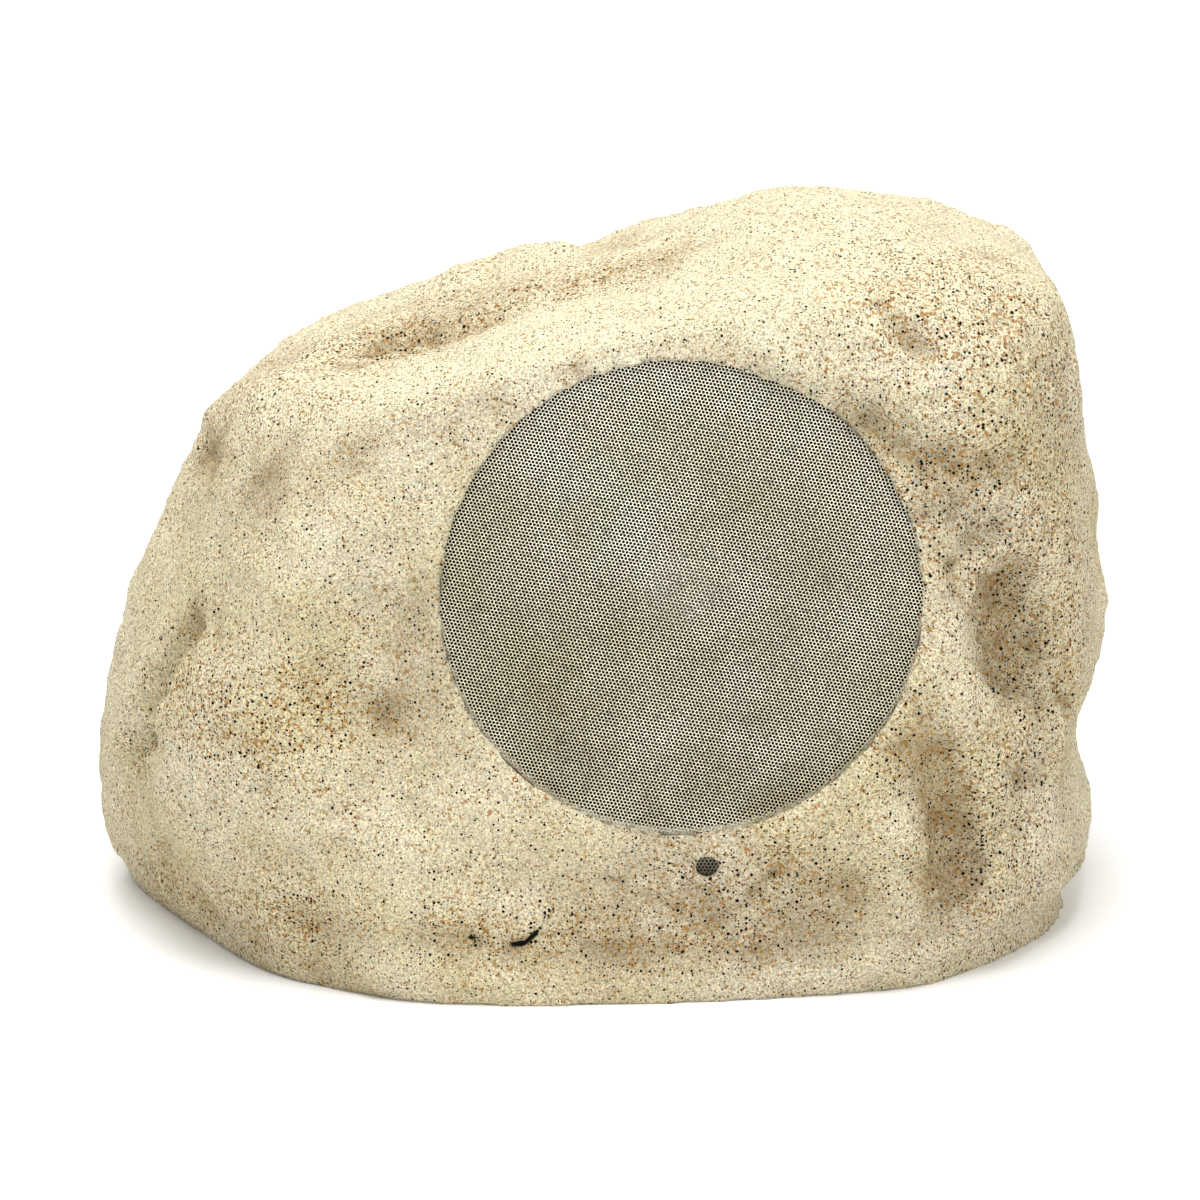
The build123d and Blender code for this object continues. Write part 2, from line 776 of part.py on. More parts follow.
tag_end = terminal_reach + tag_length
tag_places = [(-tag_spacing / 2, -terminal_reach), (tag_spacing / 2, -terminal_reach)]
with BuildPart() as terminal_tags:
    with BuildSketch(baffle.offset(strip_bottom)):
        with Locations(*tag_places):
            Rectangle(tag_width, 2 * tag_length)
    extrude(amount=-tag_thickness)

# Crossover board on the plate's posts
board = Plane((board_x, board_y, plate_top + post_height))
board_face = board.offset(board_thickness)
with BuildPart() as crossover_board:
    with BuildSketch(board):
        Rectangle(board_width, board_depth)
        with GridLocations(board_width - 2 * board_inset, board_depth - 2 * board_inset, 2, 2):
            Circle(board_screw_radius + screw_clearance, mode=Mode.SUBTRACT)
    extrude(amount=board_thickness)

with BuildPart() as board_screws:
    with BuildSketch(board_face):
        with GridLocations(board_width - 2 * board_inset, board_depth - 2 * board_inset, 2, 2):
            Circle(board_screw_radius * head_ratio)
    extrude(amount=board_screw_radius)
    with BuildSketch(board_face):
        with GridLocations(board_width - 2 * board_inset, board_depth - 2 * board_inset, 2, 2):
            Circle(board_screw_radius)
    extrude(amount=-board_screw_length)

large_coil_place = (-33.0, 13.0)
small_coil_place = (4.0, 19.0)
capacitor_place = (33.0, 13.0)
capacitor_spacing = 15.0
resistor_place = (-32.0, -16.0)
block_place = (8.0, -28.0)
with BuildPart() as large_inductor:
    with BuildSketch(board_face):
        with Locations(large_coil_place):
            Circle(coil_radius)
            Circle(coil_bore, mode=Mode.SUBTRACT)
    extrude(amount=coil_height)

with BuildPart() as small_inductor:
    with BuildSketch(board_face):
        with Locations(small_coil_place):
            Circle(small_coil_radius)
            Circle(small_coil_bore, mode=Mode.SUBTRACT)
    extrude(amount=small_coil_height)

capacitor_end = board_face.from_local_coords(
    (capacitor_place[0] - capacitor_length / 2, capacitor_place[1], capacitor_radius)
)
with BuildPart() as capacitors:
    with BuildSketch(Plane(capacitor_end, x_dir=(0, 1, 0), z_dir=(1, 0, 0))):
        with GridLocations(capacitor_spacing, capacitor_spacing, capacitor_count, 1):
            Circle(capacitor_radius)
    extrude(amount=capacitor_length)

with BuildPart() as power_resistor:
    with BuildSketch(board_face):
        with Locations(resistor_place):
            Rectangle(resistor_length, resistor_width)
    extrude(amount=resistor_height)

with BuildPart() as terminal_block:
    with BuildSketch(board_face):
        with Locations(block_place):
            Rectangle(block_width, block_depth)
    extrude(amount=block_height)

# Leads from the drivers to the terminal block
block_top = board_face.offset(block_height)
lead_drop = 26.0
with BuildPart() as woofer_lead:
    tag = baffle.from_local_coords((0, -tag_end, strip_bottom - tag_thickness / 2))
    below_tag = tag - baffle.y_dir * lead_drop / 2
    entry = block_top.from_local_coords((block_place[0] - tag_spacing, block_place[1], 0))
    lead_points = [tag, below_tag, entry + Vector(0, 0, lead_drop), entry]
    lead_radii = bend_radii(lead_points)
    print("woofer lead radii", [round(radius, 1) for radius in lead_radii])
    with BuildLine() as lead_line:
        FilletPolyline(*lead_points, radius=lead_radii)
    with BuildSketch(Plane(lead_line.line @ 0, z_dir=lead_line.line % 0)):
        Circle(lead_radius)
    sweep(path=lead_line.line)

with BuildPart() as tweeter_lead:
    start = baffle.from_local_coords((0, 0, tweeter_floor))
    turn = baffle.from_local_coords((0, 0, yoke_back - lead_drop))
    entry = block_top.from_local_coords((block_place[0] + tag_spacing, block_place[1], 0))
    lead_points = [start, turn, entry + Vector(0, 0, lead_drop), entry]
    lead_radii = bend_radii(lead_points)
    print("tweeter lead radii", [round(radius, 1) for radius in lead_radii])
    with BuildLine() as lead_line:
        FilletPolyline(*lead_points, radius=lead_radii)
    with BuildSketch(Plane(lead_line.line @ 0, z_dir=lead_line.line % 0)):
        Circle(tweeter_lead_radius)
    sweep(path=lead_line.line)

# Cable gland: body through the shell's back, lock nut inside, sealing ring under the cap
gland_neck_end = gland_flange + gland_neck_length
with BuildPart() as gland_body:
    with BuildSketch(gland_seat):
        RegularPolygon(gland_hex, 6, major_radius=False)
    extrude(amount=gland_flange)
    with BuildSketch(gland_seat.offset(gland_flange)):
        Circle(gland_neck_radius)
    extrude(amount=gland_neck_length)
    with BuildSketch(gland_seat):
        Circle(gland_thread_radius)
    extrude(amount=-gland_shank)
    with BuildSketch(gland_seat.offset(-gland_shank)):
        Circle(cable_radius + gland_clearance)
    extrude(amount=gland_shank + gland_flange, mode=Mode.SUBTRACT)
    with BuildSketch(gland_seat.offset(gland_flange)):
        Circle(seal_radius)
    extrude(amount=gland_neck_length, mode=Mode.SUBTRACT)

with BuildPart() as gland_seal:
    with BuildSketch(gland_seat.offset(gland_flange)):
        Circle(seal_radius)
        Circle(cable_radius, mode=Mode.SUBTRACT)
    extrude(amount=gland_neck_length)

with BuildPart() as gland_cap:
    with BuildSketch(gland_seat.offset(gland_neck_end + gland_cap_end)):
        RegularPolygon(gland_hex, 6, major_radius=False)
    extrude(amount=-gland_cap_length)
    with BuildSketch(gland_seat.offset(gland_neck_end)):
        Circle(gland_neck_radius + gland_clearance)
    extrude(amount=-gland_cap_length, mode=Mode.SUBTRACT)
    with BuildSketch(gland_seat.offset(gland_neck_end)):
        Circle(cable_radius + gland_clearance)
    extrude(amount=gland_cap_end, mode=Mode.SUBTRACT)

with BuildPart() as gland_nut:
    with BuildSketch(gland_seat.offset(-gland_wall)):
        RegularPolygon(gland_hex, 6, major_radius=False)
        Circle(gland_thread_radius + gland_clearance, mode=Mode.SUBTRACT)
    extrude(amount=-gland_nut_thickness)

pieces = {
    "rock_shell": rock_shell,
    "base_plate": base_plate,
    "base_gasket": base_gasket,
    "base_screws": base_screws,
    "grille": grille,
    "vent_screen": vent_screen,
    "woofer_gasket": woofer_gasket,
    "woofer_basket": woofer_basket,
    "woofer_surround": woofer_surround,
    "woofer_cone": woofer_cone,
    "woofer_spider": woofer_spider,
    "coil_former": coil_former,
    "coil_winding": coil_winding,
    "top_plate": top_plate,
    "woofer_magnet": woofer_magnet,
    "back_plate": back_plate,
    "tweeter_post": tweeter_post,
    "tweeter_housing": tweeter_housing,
    "tweeter_magnet": tweeter_magnet,
    "tweeter_dome": tweeter_dome,
    "tweeter_trim": tweeter_trim,
    "woofer_screws": woofer_screws,
    "terminal_strip": terminal_strip,
    "terminal_tags": terminal_tags,
    "crossover_board": crossover_board,
    "board_screws": board_screws,
    "large_inductor": large_inductor,
    "small_inductor": small_inductor,
    "capacitors": capacitors,
    "power_resistor": power_resistor,
    "terminal_block": terminal_block,
    "woofer_lead": woofer_lead,
    "tweeter_lead": tweeter_lead,
    "gland_body": gland_body,
    "gland_cap": gland_cap,
    "gland_nut": gland_nut,
    "gland_seal": gland_seal,
}
os.makedirs("parts", exist_ok=True)
for name, piece in pieces.items():
    piece.part.label = name
    export_step(piece.part, f"parts/{name}.step")
    box = piece.part.bounding_box()
    low = [round(value, 1) for value in box.min]
    high = [round(value, 1) for value in box.max]
    print(name, "solids", len(piece.part.solids()), "valid", piece.part.is_valid, low, high)
print("axis", [round(value, 5) for value in facing], "baffle", [round(value, 3) for value in baffle.origin])
print("gland mouth", [round(value, 3) for value in gland_seat.offset(gland_flange).origin])
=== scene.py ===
# %% [markdown]
# # A loudspeaker that looks like a boulder
# The real thing is a hollow casting of filled resin, sprayed and dabbed to pass for sandstone, with a
# coaxial driver behind a round perforated steel grille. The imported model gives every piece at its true
# place, in metres. This lesson sculpts the stone, perforates the grille and gives each piece its finish.

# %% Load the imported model
import json
import math

import bmesh
import bpy
import numpy as np
from mathutils import Matrix, Vector, noise
from mathutils.bvhtree import BVHTree


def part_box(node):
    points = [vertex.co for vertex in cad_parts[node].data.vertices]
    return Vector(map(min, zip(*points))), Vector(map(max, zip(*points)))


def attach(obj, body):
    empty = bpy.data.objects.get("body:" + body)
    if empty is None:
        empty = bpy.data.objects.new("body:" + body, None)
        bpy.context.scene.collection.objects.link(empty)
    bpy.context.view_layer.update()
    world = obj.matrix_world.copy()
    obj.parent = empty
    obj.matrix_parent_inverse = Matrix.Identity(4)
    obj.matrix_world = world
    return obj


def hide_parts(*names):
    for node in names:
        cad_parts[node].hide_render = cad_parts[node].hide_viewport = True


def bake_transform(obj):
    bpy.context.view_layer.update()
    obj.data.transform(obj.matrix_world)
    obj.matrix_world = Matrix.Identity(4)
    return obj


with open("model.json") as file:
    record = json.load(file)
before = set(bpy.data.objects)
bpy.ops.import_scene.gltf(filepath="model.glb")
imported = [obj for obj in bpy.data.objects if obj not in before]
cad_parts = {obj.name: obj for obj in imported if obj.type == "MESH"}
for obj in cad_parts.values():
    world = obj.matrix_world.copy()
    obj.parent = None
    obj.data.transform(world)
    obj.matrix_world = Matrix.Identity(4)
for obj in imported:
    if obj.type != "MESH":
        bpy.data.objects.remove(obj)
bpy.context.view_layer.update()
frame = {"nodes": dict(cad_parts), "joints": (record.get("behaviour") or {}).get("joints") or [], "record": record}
MM = 0.001

# %% [markdown]
# ## Camera
# The photo was taken from straight ahead, a little above the boulder, with a long lens: the floor's edge of
# the boulder bends up only slightly at its sides. Its angle, distance and scale were found by laying the
# boulder's outline over the photo. The same numbers let a point of the photo be traced back to the stone
# later on.

# %% Camera at the photo's viewing angle
PHOTO_SIZE = 1200
SENSOR_WIDTH = 36
camera_elevation = math.radians(16)
camera_distance = 2.2
camera_aim = Vector((0, 0, 0.1055))
metres_per_pixel = 0.368 * MM
camera_back = Vector((0, -math.cos(camera_elevation), math.sin(camera_elevation)))
camera_right = Vector((1, 0, 0))
camera_up = camera_right.cross(-camera_back)
camera_place = camera_aim + camera_back * camera_distance
focal_pixels = camera_distance / metres_per_pixel

camera_data = bpy.data.cameras.new("photo_camera")
camera_data.sensor_width = SENSOR_WIDTH
camera_data.lens = SENSOR_WIDTH * focal_pixels / PHOTO_SIZE
camera = bpy.data.objects.new("photo_camera", camera_data)
camera.location = camera_place
camera.rotation_euler = (-camera_back).to_track_quat("-Z", "Y").to_euler()
bpy.context.scene.collection.objects.link(camera)
bpy.context.scene.camera = camera
bpy.context.scene.view_settings.view_transform = "Standard"
print("lens", round(camera_data.lens, 1), "mm")


def photo_ray(x, y):
    """Direction from the camera through a pixel of the photo."""
    across = camera_right * (x - PHOTO_SIZE / 2)
    upwards = camera_up * (PHOTO_SIZE / 2 - y)
    return (across + upwards - camera_back * focal_pixels).normalized()


# %% [markdown]
# ## Helpers
# Colours are picked as sRGB hex values and turned to linear ones. One function adds every shader node, with
# its settings and links. The short ones after it name what a node does, so that each material reads as a
# list of what it is made of.

# %% Colour and node helpers
def linear(code):
    """An sRGB hex colour as linear RGBA."""
    channels = [int(code[i : i + 2], 16) / 255 for i in (1, 3, 5)]
    return [c / 12.92 if c <= 0.04045 else ((c + 0.055) / 1.055) ** 2.4 for c in channels] + [1.0]


def add_node(material, kind, settings=None):
    """Adds a shader node. Settings name its properties or inputs, and another node's output is linked."""
    tree = material.node_tree
    node = tree.nodes.new(kind)
    for name, value in (settings or {}).items():
        if isinstance(value, bpy.types.NodeSocket):
            tree.links.new(value, node.inputs[name])
        elif isinstance(name, int) or name in node.inputs:
            is_colour = isinstance(value, str) and value.startswith("#")
            node.inputs[name].default_value = linear(value) if is_colour else value
        else:
            setattr(node, name, value)
    return node


def object_place(material):
    """Object coordinates in metres, so the scale of a pattern is one over its size."""
    return add_node(material, "ShaderNodeTexCoord").outputs["Object"]


def stored(material, number):
    """A number stored on the points of the mesh."""
    return add_node(material, "ShaderNodeAttribute", {"attribute_name": number}).outputs["Fac"]


def clouds(material, place, size, detail, roughness=0.5):
    """Cloudy noise of a size in metres."""
    settings = {"Vector": place, "Scale": 1 / size, "Detail": detail, "Roughness": roughness}
    return add_node(material, "ShaderNodeTexNoise", settings).outputs["Fac"]


def ramp(material, value, low, high, start=0.0, end=1.0):
    """Stretches a value from the range low to high to the range start to end, and holds it there."""
    settings = {"Value": value, 1: low, 2: high, 3: start, 4: end}
    return add_node(material, "ShaderNodeMapRange", settings).outputs["Result"]


def reckon(material, operation, *values):
    """One step of arithmetic on numbers and other nodes' outputs."""
    settings = {"operation": operation, **dict(enumerate(values))}
    return add_node(material, "ShaderNodeMath", settings).outputs[0]


def mixed(material, share, below, above, blend="MIX"):
    """Lays one colour over another by a share."""
    settings = {"data_type": "RGBA", "blend_type": blend, 0: share, 6: below, 7: above}
    return add_node(material, "ShaderNodeMix", settings).outputs[2]


def bumped(material, height, strength, distance):
    """Relief too fine to sculpt, as a normal."""
    settings = {"Height": height, "Strength": strength, "Distance": distance}
    return add_node(material, "ShaderNodeBump", settings).outputs["Normal"]


def new_material(name):
    """An empty node material with its output, ready for nodes."""
    material = bpy.data.materials.new(name)
    material.use_nodes = True
    material.node_tree.nodes.clear()
    add_node(material, "ShaderNodeOutputMaterial")
    return material


def surface(material, settings):
    """Ends a material in a principled shader."""
    shader = add_node(material, "ShaderNodeBsdfPrincipled", settings)
    output = next(n for n in material.node_tree.nodes if n.type == "OUTPUT_MATERIAL")
    material.node_tree.links.new(shader.outputs[0], output.inputs["Surface"])


# %% Mesh helpers
MERGE_DISTANCE = 0.002 * MM


def finished(bm, name, material, smooth=True):
    """Turns a bmesh into an object at the origin."""
    mesh = bpy.data.meshes.new(name)
    bm.to_mesh(mesh)
    bm.free()
    for polygon in mesh.polygons:
        polygon.use_smooth = smooth
    mesh.materials.append(material)
    piece = bpy.data.objects.new(name, mesh)
    bpy.context.scene.collection.objects.link(piece)
    return piece


def applied(piece):
    """The mesh of an object with its modifiers applied. The object itself goes."""
    bpy.context.view_layer.update()
    solved = piece.evaluated_get(bpy.context.evaluated_depsgraph_get())
    mesh = bpy.data.meshes.new_from_object(solved)
    bpy.data.objects.remove(piece)
    return mesh


def cad_copy(node):
    """A bmesh copy of a CAD node, its loose triangles merged."""
    bm = bmesh.new()
    bm.from_mesh(frame["nodes"][node].data)
    bmesh.ops.remove_doubles(bm, verts=bm.verts, dist=MERGE_DISTANCE)
    return bm


def triangles(piece):
    """How many triangles an object's faces come to."""
    return sum(len(polygon.vertices) - 2 for polygon in piece.data.polygons)


# %% [markdown]
# ## Where the driver sits
# The baffle behind the grille leans back a few degrees. Its axis is the cone's joint axis, and the driver's
# gasket lies on the baffle, so the gasket's box gives the middle. A matrix made of them places everything
# round.

# %% The baffle's frame
facing = Vector(frame["joints"][0]["axis"]).normalized()
gasket_low, gasket_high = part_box("woofer_gasket")
gasket_thickness = 2 * MM
baffle_middle = (gasket_low + gasket_high) / 2 - facing * gasket_thickness / 2
face_up = facing.cross(Vector((1, 0, 0)))
baffle = Matrix((Vector((1, 0, 0)), face_up, facing)).transposed().to_4x4()
baffle.translation = baffle_middle
to_baffle = baffle.inverted()
print("baffle middle", [round(v, 4) for v in baffle_middle], "facing", [round(v, 4) for v in facing])

# %% [markdown]
# ## Stone
# The casting is a sand-filled resin, washed with thin paint. Grit of one to two millimetres stands up pale,
# and ochre paint has stayed in the pits between it. Black specks of half a millimetre lie everywhere, like
# mica. The hollows are painted olive-brown, partly a real wash and partly painted shade. The stone is dull,
# so its roughness is high. Four numbers stored on the mesh say where that painted shade in the hollows is,
# where the ochre is, where painted light makes the top paler and warmer, partly with paler paint, and where
# black painted shade lies, so that colour follows the sculpted form.

# %% Sandstone paint on sand-filled resin
def stone_paint(name, cream, pale, grit_height, pit_share, specks_share):
    """Painted sandstone, in a ground of two colours."""
    material = new_material(name)
    place = object_place(material)
    numbers = ("hollow", "ochre", "top_light_and_bleach", "painted_black_shade")
    hollow, ochre, top_light_and_bleach, painted_black_shade = (stored(material, number) for number in numbers)

    # Ground colour: clouds of cream and pale paint. Painted light makes the top paler and warmer,
    # partly the paler paint there.
    ground_clouds = clouds(material, place, 55 * MM, 5.0, 0.6)
    ground = mixed(material, ramp(material, ground_clouds, 0.36, 0.64), cream, pale)
    top_lit_and_bleached = mixed(material, top_light_and_bleach, ground, "#f9eecb")
    # Painted shade, partly a real wash: the hollows and the listed patches darken to a mottled olive-brown
    patches = clouds(material, place, 22 * MM, 4.0, 0.7)
    mottle = ramp(material, patches, 0.3, 0.7, 0.3, 1.7)
    hollow_shade_and_wash = mixed(material, reckon(material, "MULTIPLY", hollow, mottle), top_lit_and_bleached, "#83672d")

    # Sand: fine grains, light and dark
    sand = clouds(material, place, 0.8 * MM, 2.0, 0.7)
    sandy = mixed(material, 1.0, hollow_shade_and_wash, ramp(material, sand, 0.3, 0.7, 0.5, 1.42), "MULTIPLY")

    # Pits between the grit, where ochre paint has stayed
    grit = clouds(material, place, 1.5 * MM, 3.0, 0.75)
    patch_level = ramp(material, patches, 0.32, 0.68, 0.385, 0.435)
    pit_level = reckon(material, "MULTIPLY_ADD", ochre, 0.045, patch_level)
    pit_depth = reckon(material, "SUBTRACT", pit_level, grit)
    pits = ramp(material, pit_depth, -0.01, 0.025, 0.0, pit_share)
    pit_tone = mixed(material, sand, "#86591d", "#d8a14c")
    coloured = mixed(material, pits, sandy, pit_tone)

    # Dark specks in two sizes, wider in the ochre zones
    for cell, largest, tone in ((0.95 * MM, 0.38, "#3a2c14"), (1.6 * MM, 0.33, "#0f0b07")):
        specks = add_node(material, "ShaderNodeTexVoronoi", {"Vector": place, "Scale": 1 / cell})
        channels = add_node(material, "ShaderNodeSeparateColor", {"Color": specks.outputs["Color"]})
        speck_size = ramp(material, channels.outputs[0], 0.5, 1.0, 0.0, largest)
        speck_reach = reckon(material, "MULTIPLY_ADD", ochre, 0.1, speck_size)
        speck_inside = reckon(material, "SUBTRACT", speck_reach, specks.outputs["Distance"])
        speck = ramp(material, speck_inside, 0.0, 0.02, 0.0, specks_share)
        coloured = mixed(material, speck, coloured, tone)

    # The recess behind the grille and the vent's walls are painted black, as painted shade, so that nothing
    # shines through the holes. The edge is crisp, so that the same number also paints two cracks black,
    # as painted shade in them.
    coloured = mixed(material, ramp(material, painted_black_shade, 0.5, 0.62), coloured, "#0b0a09")

    # Relief of grit and sand
    relief = reckon(material, "MULTIPLY_ADD", sand, 0.35, grit)
    settings = {"Base Color": coloured, "Roughness": 0.92, "IOR": 1.5, "Specular IOR Level": 0.2}
    surface(material, {**settings, "Normal": bumped(material, relief, 0.9, grit_height)})
    return material


sandstone = stone_paint("sandstone_paint", "#e2d6ac", "#f4eacd", 3.6 * MM, 0.92, 1.0)
print("material", sandstone.name, len(sandstone.node_tree.nodes), "nodes")

# %% [markdown]
# ## The boulder's lump
# The CAD shell has the boulder's form but smooth sides. A voxel remesh turns a copy into an even skin that
# can be sculpted. The shell's openings are plugged first: the remesh then takes the closed room inside for
# solid, and makes an outer skin alone. The driver's plug comes out again afterwards, because the driver
# fills that opening.

# %% An even skin over the shell
voxel = 2.3 * MM
plug_sides = 48
plate_rise = 8 * MM
cutout_radius = 71 * MM
vent_place = (9.2 * MM, -95 * MM)
gland_height = 42 * MM
gland_boss = Matrix.Translation((0, 121.5 * MM, gland_height)) @ Matrix.Rotation(math.pi / 2, 4, "X")
shell = cad_copy("rock_shell")
for radius, length, place in (
    (cutout_radius + 3 * MM, 8 * MM, baffle @ Matrix.Translation((0, 0, -6 * MM))),
    (9 * MM, 8 * MM, baffle @ Matrix.Translation((*vent_place, -4 * MM))),
    (11 * MM, 6 * MM, gland_boss),
):
    bmesh.ops.create_cone(
        shell, cap_ends=True, segments=plug_sides, radius1=radius, radius2=radius, depth=length, matrix=place
    )
floor_plug = cad_copy("base_plate")
bmesh.ops.translate(floor_plug, vec=(0, 0, plate_rise), verts=floor_plug.verts)
floor_mesh = bpy.data.meshes.new("floor_plug")
floor_plug.to_mesh(floor_mesh)
floor_plug.free()
shell.from_mesh(floor_mesh)
lump = finished(shell, "boulder_lump", sandstone)
remesh = lump.modifiers.new("Skin", "REMESH")
remesh.mode = "VOXEL"
remesh.voxel_size = voxel
skin_mesh = applied(lump)
print("skin of voxels", len(skin_mesh.vertices), "points")

# %% Flatten the underside, open the driver's cutout and smooth the steps
foot_height = 4 * MM
ledge_height = 12 * MM
plug_back, plug_front = -12 * MM, 1 * MM
brink_depth = 9 * MM
rim_height = 2 * MM
smoothing_turns = 3
skin = bmesh.new()
skin.from_mesh(skin_mesh)
skin.normal_update()
facing_down = [f for f in skin.faces if f.normal.z < -0.9]
under = [f for f in facing_down if foot_height < f.calc_center_median().z < 1.5 * ledge_height]
bmesh.ops.dissolve_faces(skin, faces=under)
driver_plug = []
for face in skin.faces:
    spot = to_baffle @ face.calc_center_median()
    if spot.to_2d().length < cutout_radius - 0.5 * MM and plug_back < spot.z < plug_front:
        driver_plug.append(face)
bmesh.ops.delete(skin, geom=driver_plug, context="FACES")
brink = bmesh.ops.extrude_edge_only(skin, edges=[e for e in skin.edges if e.is_boundary])["geom"]
deeper = [g for g in brink if isinstance(g, bmesh.types.BMVert)]
bmesh.ops.translate(skin, vec=-facing * brink_depth, verts=deeper)
for turn in range(smoothing_turns):
    soft = [v for v in skin.verts if not v.is_boundary]
    standing = [v for v in soft if v.co.z < rim_height]
    raised = [v for v in soft if v.co.z >= rim_height]
    for verts, upwards in ((standing, False), (raised, True)):
        bmesh.ops.smooth_vert(
            skin, verts=verts, factor=0.5, use_axis_x=True, use_axis_y=True, use_axis_z=upwards
        )
skin.normal_update()
print("skin", len(skin.verts), "points", len(skin.faces), "faces")

# %% [markdown]
# ## Sculpting
# What makes it a stone is where it is hollowed, cracked and chipped. Each stroke below is a line of photo
# pixels with a width and a depth in millimetres, as a sculptor would note them: positive depth cuts in,
# negative builds up. A ray through each pixel finds the stone, so the stroke lies on it. Cracks have a sharp
# bottom, hollows a round one, and noise frays the edge of both. Vector noise starts from the clock unless
# it is given a seed, so it gets one and the stone comes out the same each time. Three more tables say
# where the stone crumbles, where it is ochre and where it is darkened, the last with a strength: partly real
# stains, partly painted shade.

# %% Strokes of the sculptor's tool
STROKES = (
    ("hollow", "saddle above the brow", ((640, 275), (560, 300), (480, 322), (390, 345)), 12, 1.0),
    ("hollow", "its deep end", ((425, 335), (375, 346)), 6, 3.0),
    ("hollow", "ridge beside it", ((660, 285), (590, 325), (500, 362), (400, 392)), 14, -1.5),
    ("hollow", "slope under the ridge", ((470, 410), (350, 430)), 18, 2.5),
    ("hollow", "knob on the left slope", ((330, 350), (300, 380)), 12, -3.0),
    ("crack", "oval dent", ((880, 308), (900, 330), (922, 352)), 6, 3.0),
    ("hollow", "dent's lower lip", ((930, 345), (905, 345)), 6, 2.0),
    ("hollow", "dent by the peak", ((1000, 256), (1022, 270)), 6, 4.0),
    ("hollow", "overhang over the grille", ((780, 362), (850, 385), (905, 412)), 9, -3.0),
    ("hollow", "rough band under it", ((860, 425), (905, 450), (960, 470), (1010, 462)), 8, 4.5),
    ("hollow", "swelling over the band", ((930, 400), (1010, 420)), 14, -3.0),
    ("crack", "ledge crack", ((936, 492), (955, 503), (982, 508)), 5, 4.5),
    ("hollow", "hollow under the ledge", ((922, 522), (960, 530), (1000, 530)), 8, 3.0),
    ("hollow", "ledge", ((1000, 500), (1060, 515)), 12, -3.0),
    ("crack", "groove", ((950, 565), (958, 590)), 4, 3.5),
    ("hollow", "shoulder over the hollow", ((1005, 548), (1065, 565)), 12, -4.0),
    ("hollow", "large hollow", ((1005, 590), (990, 625), (1015, 655)), 19, 4.0),
    ("hollow", "its upper corner", ((1010, 578), (985, 590)), 7, 3.5),
    ("hollow", "swelling beside the grille", ((955, 640), (950, 690)), 10, -2.5),
    ("hollow", "brown pits", ((985, 680), (1024, 660)), 11, 2.5),
    ("crack", "pit on the flank", ((1030, 685), (1048, 712)), 8, 5.0),
    ("crack", "pit beside it", ((1060, 690), (1068, 712)), 6, 4.0),
    ("hollow", "swelling below", ((970, 705), (1000, 735)), 16, -4.0),
    ("crack", "broken patch", ((1005, 762), (1024, 776), (1042, 778)), 8, 4.0),
    ("hollow", "trough down the flank", ((932, 755), (942, 820), (965, 870)), 16, 4.4),
    ("hollow", "trough's floor", ((950, 830), (968, 872)), 9, 2.5),
    ("hollow", "rib right of the trough", ((990, 800), (1000, 880)), 12, -3.0),
    ("hollow", "swelling left of the trough", ((890, 830), (900, 890)), 14, -3.0),
    ("hollow", "hollow by the grille", ((445, 590), (405, 645), (392, 700)), 22, 2.5),
    ("crack", "crease beside it", ((384, 706), (378, 728)), 7, 2.0),
    ("hollow", "swelling left of it", ((310, 600), (300, 690)), 30, -3.0),
    ("hollow", "gully on the left", ((192, 622), (168, 672), (150, 712), (136, 758)), 8, 3.0),
    ("hollow", "rib beside it", ((166, 632), (142, 690), (125, 742)), 8, -4.0),
    ("crack", "stitched crack", ((214, 622), (217, 638), (223, 652)), 4, 3.0),
    ("crack", "left pit", ((148, 736), (167, 742)), 5, 4.0),
    ("crack", "foot crack", ((142, 866), (163, 877)), 4, 2.5),
    ("hollow", "foot crease", ((165, 850), (172, 905)), 6, 2.0),
    ("hollow", "chip under the grille", ((590, 860), (602, 865), (616, 872)), 3, -2.2),
    ("crack", "cut below the chip", ((604, 876), (622, 882)), 4, 2.0),
    ("crack", "crack by the vent", ((770, 874), (762, 886), (752, 896)), 4, 3.0),
    ("crack", "cracks below the vent", ((692, 934), (706, 918), (720, 904)), 3, 2.2),
    ("crack", "crack beside them", ((710, 930), (730, 916)), 4, 2.5),
    ("hollow", "dent right of the vent", ((834, 888), (848, 912)), 10, 2.2),
    ("hollow", "hollow over the foot", ((640, 905), (760, 915), (900, 900)), 18, 3.0),
    ("hollow", "foot's step", ((300, 918), (470, 948), (640, 958), (820, 950), (960, 925)), 6, 2.0),
    ("hollow", "foot's rim", ((380, 978), (520, 992), (700, 990), (880, 972)), 7, -1.6),
    ("crack", "dark crack left", ((463, 935), (476, 944), (488, 952)), 3, 2.5),
    ("crack", "dark crack right", ((508, 949), (524, 944), (536, 936)), 3, 2.5),
    ("crack", "crack at the grille's top", ((560, 378), (598, 369), (650, 363)), 4, 2.5),
    ("hollow", "left shoulder", ((250, 480), (300, 450)), 18, 3.0),
    ("hollow", "left brow", ((214, 420), (290, 395), (340, 400)), 13, -5.0),
    ("hollow", "notch in the left outline", ((200, 450), (208, 466)), 9, 5.0),
    ("hollow", "swelling under the notch", ((170, 520), (150, 590)), 14, -2.5),
    ("hollow", "hump on the left skyline", ((470, 276), (500, 266), (540, 260)), 12, -5.5),
    ("hollow", "dip beside the hump", ((610, 240), (640, 240)), 12, 3.0),
    ("hollow", "dip before the hump", ((405, 305), (430, 298)), 8, 2.5),
)
